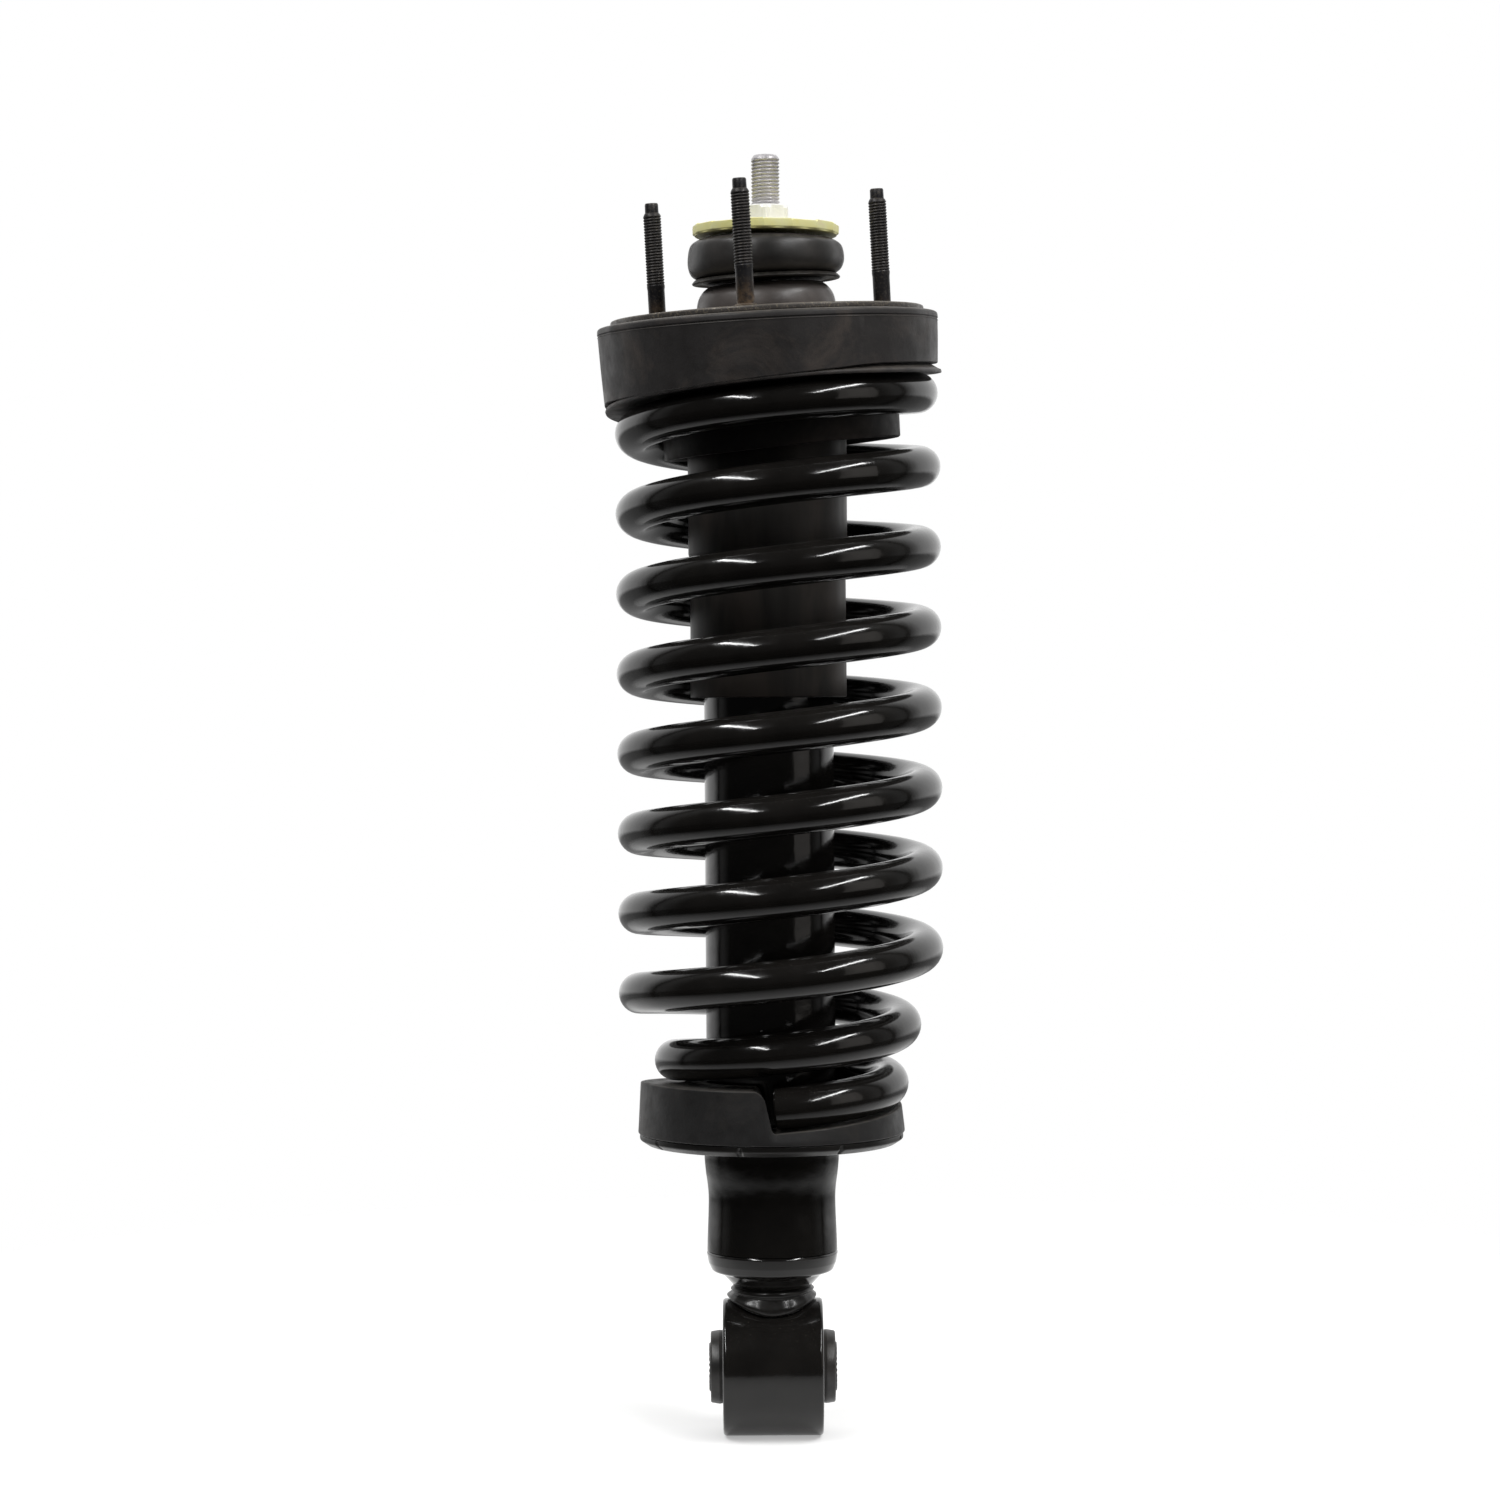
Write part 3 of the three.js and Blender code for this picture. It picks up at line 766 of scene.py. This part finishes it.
def eye_bush():
    """The rubber of the eye: hollowed faces and a collar round each end of the sleeve."""
    side = [
        (10.6, 26.5, 0.2),
        (15.0, 26.5, 0.9),
        (15.6, 22.8, 1.4),
        (15.2, 19.4, 1.4),
        (17.6, 18.0, 1.2),
        (20.1, 20.6, 0.3),
    ]
    other = [(radius, -along, fillet) for radius, along, fillet in reversed(side)]
    return revolved(rounded(side + other, 1), 96)


make("eye_bush", eye_bush(), "bushing_rubber", "damper", ("bush_rubber",), ALONG_X)


def bolt_sleeve():
    """The inner sleeve, its end faces cut with small teeth that bite into the bracket."""

    def teeth(angle, radius, along):
        if abs(along) < SLEEVE_HALF_LENGTH - 0.3:
            return radius, along
        share = 0.5 - 0.5 * math.cos(angle * 24)
        return radius, along - math.copysign(0.35 * share, along)

    outline = rounded(
        [
            (7.25, -SLEEVE_HALF_LENGTH, 0.5),
            (10.3, -SLEEVE_HALF_LENGTH, 0.6),
            (10.3, SLEEVE_HALF_LENGTH, 0.6),
            (7.25, SLEEVE_HALF_LENGTH, 0.5),
        ],
        0.5,
    )
    return revolved(outline, 144, teeth)


make("bolt_sleeve", bolt_sleeve(), "black_steel", "bolt_sleeve", ("eye_sleeve",), ALONG_X)


def weld_seam():
    """The painted weld between the cup and the eye: overlapping ripples that follow the eye."""
    outside = [(16.4, 0.0), (17.8, 0.1), (19.2, 0.26), (19.4, 0.42), (18.4, 0.56), (17.6, 0.68)]
    outside += [(18.1, 0.8), (17.6, 0.93), (15.8, 1.03)]
    outline = curved(outside) + [(10, 1.05), (10, 0.1)]

    def ripple(angle, radius, share):
        across = radius * math.sin(angle)
        foot = math.sqrt(EYE_RADIUS**2 - across**2) - 0.5
        height = foot + (WELD_TOP - foot) * share
        if radius < 12:
            return radius, height
        spot = Vector((math.cos(angle) * 1.5, math.sin(angle) * 1.5, share * 1.1))
        lump = noise.noise(spot) + noise.noise(spot * 2.3) * 0.3
        body = math.sin(min(1, max(0, share)) * math.pi)
        scale = 0.5 - 0.5 * math.cos(angle * 22 + share * 2.5 + 1.2 * noise.noise(spot))
        fold = noise.noise(spot * 3.6) * 0.12
        return radius - 0.4 + body * (lump + 0.1 * scale + fold), height

    return revolved(outline, 240, ripple)


make("weld_seam", weld_seam(), "weld_paint", "damper", ("weld_bead",), sharp=70)

# ---- the damper tube ----

make(
    "tube_base",
    revolved(
        rounded(
            [
                (0, 34.6, 0),
                (16.2, 34.6, 0.8),
                (21.4, 40.2, 1.4),
                (25.8, 41.6, 2.2),
                (27.2, 45.0, 2),
                (27.9, 49.1, 0.7),
                (27.4, 49.9, 0.3),
                (23.2, 49.9, 0.3),
                (20, 44, 3),
                (14, 38.4, 3),
                (0, 38.4, 0),
            ],
            1,
            5,
        ),
        128,
    ),
    "gloss_black_paint",
    "damper",
    ("base_cup",),
)


def damper_tube():
    """The tube, drawn in a little above the cup and swelled where the perch sits."""
    outside = [(27.7, 50.2), (27.6, 54), (27.35, 60), (27.05, 67), (26.95, 73), (27.3, 78)]
    outside += [(28.0, 83), (28.5, 88), (28.6, 91), (28.4, 95), (27.8, 99), (27.5, 104)]
    return curved(outside, 6) + [(27.5, 200), (27.5, 301.7), (27.2, 302), (24.2, 302), (24.2, 50.2)]


make("damper_tube", revolved(damper_tube(), 128), "gloss_black_paint", "damper", ("reserve_tube",))


def perch_notch(angle, radius, height):
    """Small pressed notches in the rim of the perch, eight round it."""
    if radius < 53.5:
        return radius, height
    nearest = (math.degrees(angle) + 14 + 22.5) % 45 - 22.5
    depth = max(0, 1 - (nearest / 1.3) ** 2) ** 2 * (1 - smooth_step(height, 98, 99.4))
    return radius - 1.5 * depth, height + 0.5 * depth


make(
    "spring_perch_rim",
    revolved(
        rounded(
            [
                (28.9, 95.4, 0.5),
                (52.6, 95.6, 1.8),
                (56, 97.8, 1.0),
                (56, 100.2, 0.4),
                (54.5, 100.2, 0.4),
                (52.6, 97.2, 1.5),
                (31.2, 97.0, 1.4),
                (31.2, 103.8, 0.4),
                (28.9, 103.8, 0.4),
            ],
            0.5,
        ),
        720,
        perch_notch,
    ),
    "matt_black_paint",
    "damper",
    ("spring_perch",),
)


def seat_height(angle, radius):
    """Top of the lower isolator as it climbs under the wire to its step, which has a rounded
    shoulder, a steep face and a rounded foot."""
    outward = smooth_step(radius, 51, 56)
    low = STEP_INSIDE_LOW + (STEP_LOW_ANGLE - STEP_INSIDE_LOW) * outward
    high = STEP_INSIDE_HIGH + (STEP_HIGH_ANGLE - STEP_INSIDE_HIGH) * outward
    degrees = (math.degrees(angle) - low) % 360
    turned_by = math.radians(low + degrees)
    x = END_COIL_RADIUS * math.cos(turned_by) - COIL_CENTRE[0]
    y = END_COIL_RADIUS * math.sin(turned_by) - COIL_CENTRE[1]
    seen = math.atan2(y, x)
    turns = (seen + round((turned_by - seen) / TURN) * TURN + math.pi / 2) / TURN
    under_wire = coil_point(turns).z - WIRE_RADIUS - 0.3
    ramp = max(ISOLATOR_LOW, min(under_wire, ISOLATOR_HIGH))
    share = (degrees - 360 + low - high) / (low - high)
    if share <= 0:
        return ramp
    begins, ends = STEP_FACE
    shoulder = min(1, share / begins) ** 2.6
    face = min(1, max(0, share - begins) / (ends - begins))
    foot = 1 - (1 - max(0, share - ends) / (1 - ends)) ** 2.4
    drop = sum(part * size for part, size in zip((shoulder, face, foot), STEP_DROPS))
    return ramp + (ISOLATOR_LOW - ramp) * drop


def lower_isolator():
    """The moulded rubber seat: a helical ramp with a rounded lip, ending in a step."""
    outline = rounded(
        [
            (ISOLATOR_INSIDE, 97.3, 0.5),
            (52.3, 97.3, 0.5),
            (54.2, 100.3, 0.4),
            (ISOLATOR_RADIUS, 100.4, 0.7),
            (ISOLATOR_RADIUS - 0.2, 102.8, 0.3),
            (ISOLATOR_RADIUS - 1.2, 200, 1.6),
            (54.0, 200, 1.0),
            (52.0, 199.2, 2.0),
            (38.6, 199.2, 2.0),
            (36.4, 200, 1.0),
            (ISOLATOR_INSIDE, 200, 0.8),
        ],
        0.5,
        5,
    )

    def ramp(angle, radius, height):
        if height < 120:
            return radius, height
        return radius, height - 200 + seat_height(angle, radius)

    return revolved(outline, 900, ramp)


make("lower_seat", lower_isolator(), "seat_rubber", "damper", ("lower_isolator",), sharp=50)

# ---- the rod, the boot and the bump stop ----

make(
    "rod",
    threaded(
        [
            (0, 236),
            (4.7, 236),
            (5, 236.4),
            (5, 262),
            (7, 262),
            (7, 420.6),
            (6.6, 421),
            (6, 421),
            (6, 513.1),
            (5.2, 514.4),
            (4.7, 514.8),
            (0, 514.8),
        ],
        478,
        513.2,
        1.5,
        0.65,
        64,
    ),
    "rod_steel",
    "rod",
    ("piston_rod",),
)
make(
    "boot",
    revolved(
        rounded(
            [
                (31.5, 285, 0.5),
                (33.2, 285, 0.8),
                (33.0, 343, 1.5),
                (33.75, 346, 1.5),
                (33.75, 420.4, 0.6),
                (32.25, 420.4, 0.4),
                (32.25, 347, 1),
                (31.5, 343, 1),
            ],
            0.5,
        ),
        128,
    ),
    "boot_plastic",
    "rod",
    ("dust_boot",),
)


def bump_cushion():
    """The foam bump stop, folded and wider towards its top."""
    folds = [(7.6, 360), (13, 360), (16, 362), (18.8, 367), (17.2, 373), (21, 380)]
    folds += [(18.6, 388), (22, 396), (19.6, 404), (22.5, 411), (22.5, 417.4)]
    return curved(folds) + [(7.6, 417.6)]


bump = make("bump_cushion", revolved(bump_cushion(), 72), "bump_foam", "rod", ("bump_stop",))
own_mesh(bump)

# ---- the top of the rod ----


def donut_ring():
    """The pressed ring under the bushing, its rim turned down."""
    outline = [(10.2, -1.7), (25, -1.7, 0.8), (27, -0.8, 1), (29.2, -0.8, 1.2)]
    outline += [(31.0, -1.6, 0.5), (31.6, -0.9, 0.4), (30.2, 0.6, 1), (10.2, 0.6)]
    return revolved(rounded(outline, 0.4), 128)


make("donut_ring", donut_ring(), "ring_steel", "mount_bushing", ("bushing_ring",), LEAN)


def donut():
    """The upper bushing: level under the washer, and leaning with the mount at its foot."""
    outside = [(24, 463.1), (28.9, 463.5), (31.7, 465.2), (33.05, 468.4), (33.15, 472)]
    outside += [(32.4, 475.6), (31.0, 477.4), (28.2, 478.7), (24, 479.3)]

    def settle(angle, radius, height):
        slope = math.cos(angle) * math.tan(-MOUNT_LEAN) + math.sin(angle) * math.tan(MOUNT_NOD)
        return radius, height + radius * slope * (1 - smooth_step(height, 463, 479))

    return revolved(curved(outside) + [(10, 479.6), (10, 463.1)], 128, settle)


make("donut", donut(), "bushing_rubber", "mount_bushing", ("upper_bushing",))


def washer_rim(angle, radius, height):
    """The rim is pressed in sixteen short flats with fine creases between them."""
    if radius < 27 or height < WASHER_FLOOR:
        return radius, height
    half = WASHER_FLAT / 2
    across = (math.degrees(angle) + 91.6) % WASHER_FLAT - half
    flat = math.cos(math.radians(half)) / math.cos(math.radians(across))
    crease = max(0, 1 - ((half - abs(across)) / 0.9) ** 2)
    uneven = 0.25 * math.sin(math.degrees(angle) // WASHER_FLAT * 2.1)
    lift = min(1, (height - WASHER_FLOOR) / 3)
    return radius * flat, height - (0.5 * crease + 0.3 + uneven) * lift


make(
    "top_washer",
    revolved(
        rounded(
            [
                (6.4, 480.5, 0.2),
                (30.0, 480.5, 0.5),
                (31.0, 481.4, 0.6),
                (31.1, 485, 0.3),
                (29.5, 485, 0.3),
                (28.8, 482.9, 1.0),
                (6.4, 482.9, 0.2),
            ],
            0.4,
        ),
        720,
        washer_rim,
    ),
    "yellow_zinc",
    "rod",
    ("cupped_washer",),
)


def hex_nut():
    """A flange nut: six flats with chamfered corners over a round sloping flange."""
    outline = [(6.1, 483.2), (6.6, 483.0), (14.3, 483.0), (14.5, 483.4), (14.4, 484.3)]
    outline += [(11.8, 485.5), (11.0, 486.0), (11.0, 486.4), (11.0, 491.7), (10.0, 492.8)]
    outline += [(9.2, 493.3), (7.2, 493.4), (6.1, 492.6)]

    def flats(angle, radius, height):
        if height < NUT_FLANGE_TOP or radius < 8:
            return radius, height
        across = (math.degrees(angle) + 30) % 60 - 30
        corner = NUT_ACROSS_FLATS / 2 / math.cos(math.radians(across))
        crown = 11.0 - max(0, height - NUT_CROWN) * 0.62
        top = radius if height > 492.3 else crown
        return min(corner, crown, top), height

    return revolved(outline, 360, flats)


make("top_nut", hex_nut(), "zinc_white", "rod", ("rod_nut",), sharp=22)

# ---- the upper mount ----


class LastTurn:
    """The wire's top in the mount's frame, looked up by angle over the spring's last turn."""

    def __init__(self):
        into_mount = MOUNT.inverted()
        rows = []
        for i in range(361):
            turns = COIL_END - 1 + i / 360
            point = into_mount @ coil_point(turns)
            angle = math.atan2(point.y, point.x)
            if rows:
                angle += round((rows[-1][0] - angle) / TURN) * TURN
            rows.append((angle, point.z + WIRE_RADIUS))
        self.rows = rows

    def at(self, angle):
        first = self.rows[0][0]
        span = self.rows[-1][0] - first
        share = ((angle - first) % TURN) / span
        place = min(share, 1) * 360
        index = min(359, int(place))
        rest = place - index
        return self.rows[index][1] * (1 - rest) + self.rows[index + 1][1] * rest


WIRE_TOPS = LastTurn()


def drum_rim(angle):
    """Lower rim of the drum's wall: a slanting line that hangs past the seat at the left."""
    seat = WIRE_TOPS.at(angle) + SEAT_ABOVE_WIRE
    slanted = DRUM_RIM_HEIGHT + DRUM_RIM_SLANT * math.cos(angle)
    degrees = math.degrees(angle) % 360
    hangs = smooth_step(degrees, 132, 142) * (1 - smooth_step(degrees, 292, 312))
    return seat + (min(slanted, seat) - seat) * hangs


def drum():
    """The rubber drum: a flat top, a slightly tapered wall and a helical seat underneath."""
    sides = 360
    points = []
    top = rounded(
        [
            (DRUM_TOP_RADIUS - 0.05, DRUM_TOP - 4.0, 0.2),
            (DRUM_TOP_RADIUS - 0.5, DRUM_TOP - 3.6, 0.1),
            (DRUM_TOP_RADIUS - 0.5, DRUM_TOP - 3.3, 0.1),
            (DRUM_TOP_RADIUS - 0.1, DRUM_TOP - 2.9, 0.3),
            (DRUM_TOP_RADIUS - 0.3, DRUM_TOP - 0.5, 1.5),
            (69.6, DRUM_TOP, 1.2),
            (26.5, DRUM_TOP, 0.6),
            (26.5, -16, 0.6),
            (DRUM_SEAT_INSIDE, -16, 0),
        ],
        0.5,
    )
    for i in range(sides):
        angle = i * TURN / sides
        seat = WIRE_TOPS.at(angle) + SEAT_ABOVE_WIRE
        rim = drum_rim(angle)
        wall = DRUM_TOP_RADIUS + DRUM_TAPER * (rim - DRUM_TOP)
        row = top + [
            (DRUM_SEAT_INSIDE, seat + 0.8),
            (DRUM_SEAT_INSIDE + 0.8, seat),
            (60, seat),
            (wall - 1.6, seat),
            (wall - 1.2, min(seat, rim + 0.7)),
            (wall - 0.9, rim + 0.15),
            (wall - 0.45, rim - 0.05),
            (wall - 0.05, rim + 0.3),
            (wall, rim + 1.0),
            ((wall + DRUM_TOP_RADIUS) / 2, (rim + DRUM_TOP) / 2),
        ]
        for radius, height in row:
            points.append((radius * math.cos(angle), radius * math.sin(angle), height))
    return points, ring_faces(sides, len(row))


make("mount_drum_rubber", drum(), "mount_rubber", "top_mount", ("mount_drum",), MOUNT, sharp=40)


def upper_seat():
    """The isolator over the spring: a skirt inside the coil and a flange with a light lip."""
    sides = 360
    points = []
    for i in range(sides):
        angle = i * TURN / sides
        low = WIRE_TOPS.at(angle) + FLANGE_ABOVE_WIRE
        side = smooth_step(math.cos(angle), 0.2, 0.95)
        lip = FLANGE_LIP + FLANGE_LIP_EXTRA * side
        droop = FLANGE_DROOP * side
        bottom = SKIRT_BOTTOM + SKIRT_SLANT * math.cos(angle)
        row = [
            (47.2, bottom + 0.5, 1),
            (47.7, bottom, 1),
            (49.8, bottom, 1),
            (50.4, bottom + 0.6, 1),
            (50.4, low - 5.5, 1),
            (50.9, low - 2.2, 1),
            (52.6, low - 0.3, 1),
            (54.6, low, 0.7),
            (62, low, 0.3),
            (68.6, low - 0.2, 0),
            (lip - 1.2, low - 0.4 - droop, 0),
            (lip - 0.2, low - 0.2 - droop, 0),
            (lip, low + 0.4 - droop, 0),
            (lip - 0.3, low + 1.2 - droop, 0),
            (lip - 1.4, low + 1.7 - droop, 0),
            (68.6, low + 2.4, 0),
            (62, low + 2.5, 0.3),
            (48.0, low + 2.5, 1),
            (47.2, low + 1.6, 1),
        ]
        for radius, height, share in row:
            x = radius * math.cos(angle) + SKIRT_SHIFT[0] * share
            y = radius * math.sin(angle) + SKIRT_SHIFT[1] * share
            points.append((x, y, height))
    return points, ring_faces(sides, len(row))


make("upper_seat", upper_seat(), "mount_rubber", "top_mount", ("upper_isolator",), MOUNT, sharp=50)


def cover_plate():
    """The flat plate on the drum, round the collar."""
    outline = rounded(
        [
            (29.9, -6.7, 0.2),
            (66.5, -6.7, 0.3),
            (66.5, PLATE_TOP, 1.1),
            (52, PLATE_TOP, 0),
            (40, PLATE_TOP, 0),
            (29.9, PLATE_TOP, 0.8),
        ],
        0.4,
        5,
    )
    return revolved(outline, 192)


make("cover_plate", cover_plate(), "plate_steel", "top_mount", ("top_plate",), MOUNT)


def tower():
    """The domed collar under the upper bushing."""
    outside = [(29.6, -6.7), (29.6, -3), (29.4, 0), (28.5, 3.2), (26.8, 5.8), (25.0, 7.4)]
    return curved(outside + [(24.0, 7.9)]) + [(13, 7.9), (13, -6.7)]


make("tower", revolved(tower(), 128), "tower_rubber", "top_mount", ("mount_tower",), MOUNT)

STUD_STEM = [
    (0, -10.8),
    (7, -10.8),
    (7, -7.2),
    (6.8, -7),
    (4.9, -7),
    (4.9, -3.9),
    (4.4, -3.4),
    (3.7, -3.2),
    (3.7, 10.5),
    (3.9, 12),
    (3.9, 42.4),
    (3.3, 43.5),
    (2.95, 43.9),
    (2.9, 47.4),
    (2.6, 48.0),
    (0, 48.1),
]
for name, degrees in zip(STUD_NAMES, STUD_ANGLES):
    x = STUD_CIRCLE_SHIFT + STUD_CIRCLE * math.cos(math.radians(degrees))
    y = STUD_CIRCLE * math.sin(math.radians(degrees))
    make(
        f"{name}_screw",
        threaded(STUD_STEM, 12, 42.6, 1.25, 0.4, 40),
        "stud_steel",
        "top_mount",
        (name,),
        MOUNT @ Matrix.Translation((x, y, 0)),
    )

# ---- carried-over nodes ----

for name, finish in KEPT_NODES.items():
    kept = frame["nodes"][name]
    kept.data.materials.clear()
    kept.data.materials.append(FINISHES[finish])

# ---- room, light and camera ----


def floor():
    """A pale round sheet under the object that fades into the white room."""
    finish = Finish(
        "floor", Specular_IOR_Level=0.2, Emission_Color=(1, 1, 1, 1), Emission_Strength=0.22
    )
    cloudy = finish.noise(0.8, 3)
    finish.colour(finish.shades(cloudy, (0.3, (0.9, 0.9, 0.895)), (0.7, (0.93, 0.93, 0.925))))
    finish.roughness(finish.spread(finish.noise(3, 3), 0.3, 0.7, 0.75, 0.85))
    distance = finish.node("ShaderNodeVectorMath", operation="LENGTH")
    finish.link(finish.place, distance.inputs[0])
    shown = finish.spread(distance.outputs["Value"], *FLOOR_FADE, 1, 0)
    finish.link(shown, finish.shader.inputs["Alpha"])
    mesh = bpy.data.meshes.new("floor")
    sides = 96
    angles = [i * TURN / sides for i in range(sides)]
    reach = FLOOR_FADE[1]
    rim = [(reach * math.cos(angle), reach * math.sin(angle), 0) for angle in angles]
    mesh.from_pydata(rim, [], [tuple(range(sides))])
    mesh.materials.append(finish.material)
    ground = placed("floor", mesh)
    ground.location = (*FLOOR_MIDDLE, -EYE_RADIUS * MM)


def area_light(name, width, length, power):
    """A rectangular lamp, still to be placed."""
    lamp = bpy.data.lights.new(name, "AREA")
    lamp.shape = "RECTANGLE"
    lamp.size = width
    lamp.size_y = length
    lamp.energy = power
    return placed(name, lamp)


def strip_light(name, x, y):
    """A long soft tube overhead, running from front to back."""
    holder = area_light(name, *STRIP_SIZE, STRIP_POWER)
    holder.location = (x, y, STRIP_HEIGHT)
    holder.rotation_euler = (0, math.atan2(x, STRIP_HEIGHT - STRIP_AIM), 0)


def side_panel(name, width, length, power):
    """A pale wall to the right of the object, seen in its gloss."""
    holder = area_light(name, width, length, power)
    holder.data.color = PANEL_COLOUR
    holder.location = PANEL_PLACE
    holder.rotation_euler = (math.radians(90), 0, math.atan2(PANEL_PLACE[0], -PANEL_PLACE[1]))


def world():
    """White to the camera. In reflections it is white behind the object, grey at the sides and
    dark in front."""
    made = bpy.data.worlds.new("studio")
    made.use_nodes = True
    tree = made.node_tree
    background = tree.nodes["Background"]
    direction = tree.nodes.new("ShaderNodeTexCoord").outputs["Generated"]
    parts = tree.nodes.new("ShaderNodeSeparateXYZ")
    tree.links.new(direction, parts.inputs[0])
    ramp = tree.nodes.new("ShaderNodeValToRGB")
    shift = tree.nodes.new("ShaderNodeMapRange")
    shift.inputs["From Min"].default_value = -1
    tree.links.new(parts.outputs["Y"], shift.inputs["Value"])
    tree.links.new(shift.outputs["Result"], ramp.inputs["Fac"])
    stops = ramp.color_ramp.elements
    for stop, (where, grey) in zip(list(stops), (REFLECTED_DARK, REFLECTED_WHITE)):
        stop.position = where
        stop.color = (grey, grey, grey, 1)
    for where, grey in REFLECTED_GREYS:
        stops.new(where).color = (grey, grey, grey, 1)
    dim = tree.nodes.new("ShaderNodeMapRange")
    for socket, value in zip(("From Min", "From Max", "To Min", "To Max"), (-0.14, -0.04, 0.25, 1)):
        dim.inputs[socket].default_value = value
    tree.links.new(parts.outputs["Z"], dim.inputs["Value"])
    dimmed = tree.nodes.new("ShaderNodeVectorMath")
    dimmed.operation = "SCALE"
    tree.links.new(ramp.outputs["Color"], dimmed.inputs[0])
    tree.links.new(dim.outputs["Result"], dimmed.inputs["Scale"])
    path = tree.nodes.new("ShaderNodeLightPath")
    choice = tree.nodes.new("ShaderNodeMix")
    choice.data_type = "RGBA"
    tree.links.new(path.outputs["Is Camera Ray"], choice.inputs["Factor"])
    tree.links.new(dimmed.outputs[0], choice.inputs[6])
    choice.inputs[7].default_value = (1, 1, 1, 1)
    tree.links.new(choice.outputs[2], background.inputs["Color"])
    bpy.context.scene.world = made


def sun():
    """Wide soft daylight from above, kept out of the gloss."""
    lamp = bpy.data.lights.new("overhead", "SUN")
    lamp.energy = 1.2
    lamp.angle = math.radians(50)
    holder = placed("overhead", lamp)
    holder.rotation_euler = (math.radians(14), math.radians(12), 0)
    holder.visible_glossy = False


def camera():
    """The photograph's view: from the front, a little above the middle, almost level."""
    lens = bpy.data.cameras.new("camera")
    lens.sensor_width = 36
    lens.lens = CAMERA_LENS
    lens.clip_start = 0.05
    lens.clip_end = 100
    holder = placed("camera", lens)
    holder.matrix_world = (
        Matrix.Translation(CAMERA_PLACE)
        @ Matrix.Rotation(math.pi / 2 - CAMERA_DOWN, 4, "X")
        @ Matrix.Rotation(CAMERA_ROLL, 4, "Z")
    )
    bpy.context.scene.camera = holder


floor()
strip_light("left_strip", -1.35, -1.9)
strip_light("right_strip", 1.75, -1.95)
world()
side_panel("side_panel", 0.5, 0.95, 0.9)
side_panel("side_panel_edge", 0.95, 1.4, 2.0)
sun()
camera()
bpy.context.scene.view_settings.view_transform = "Standard"
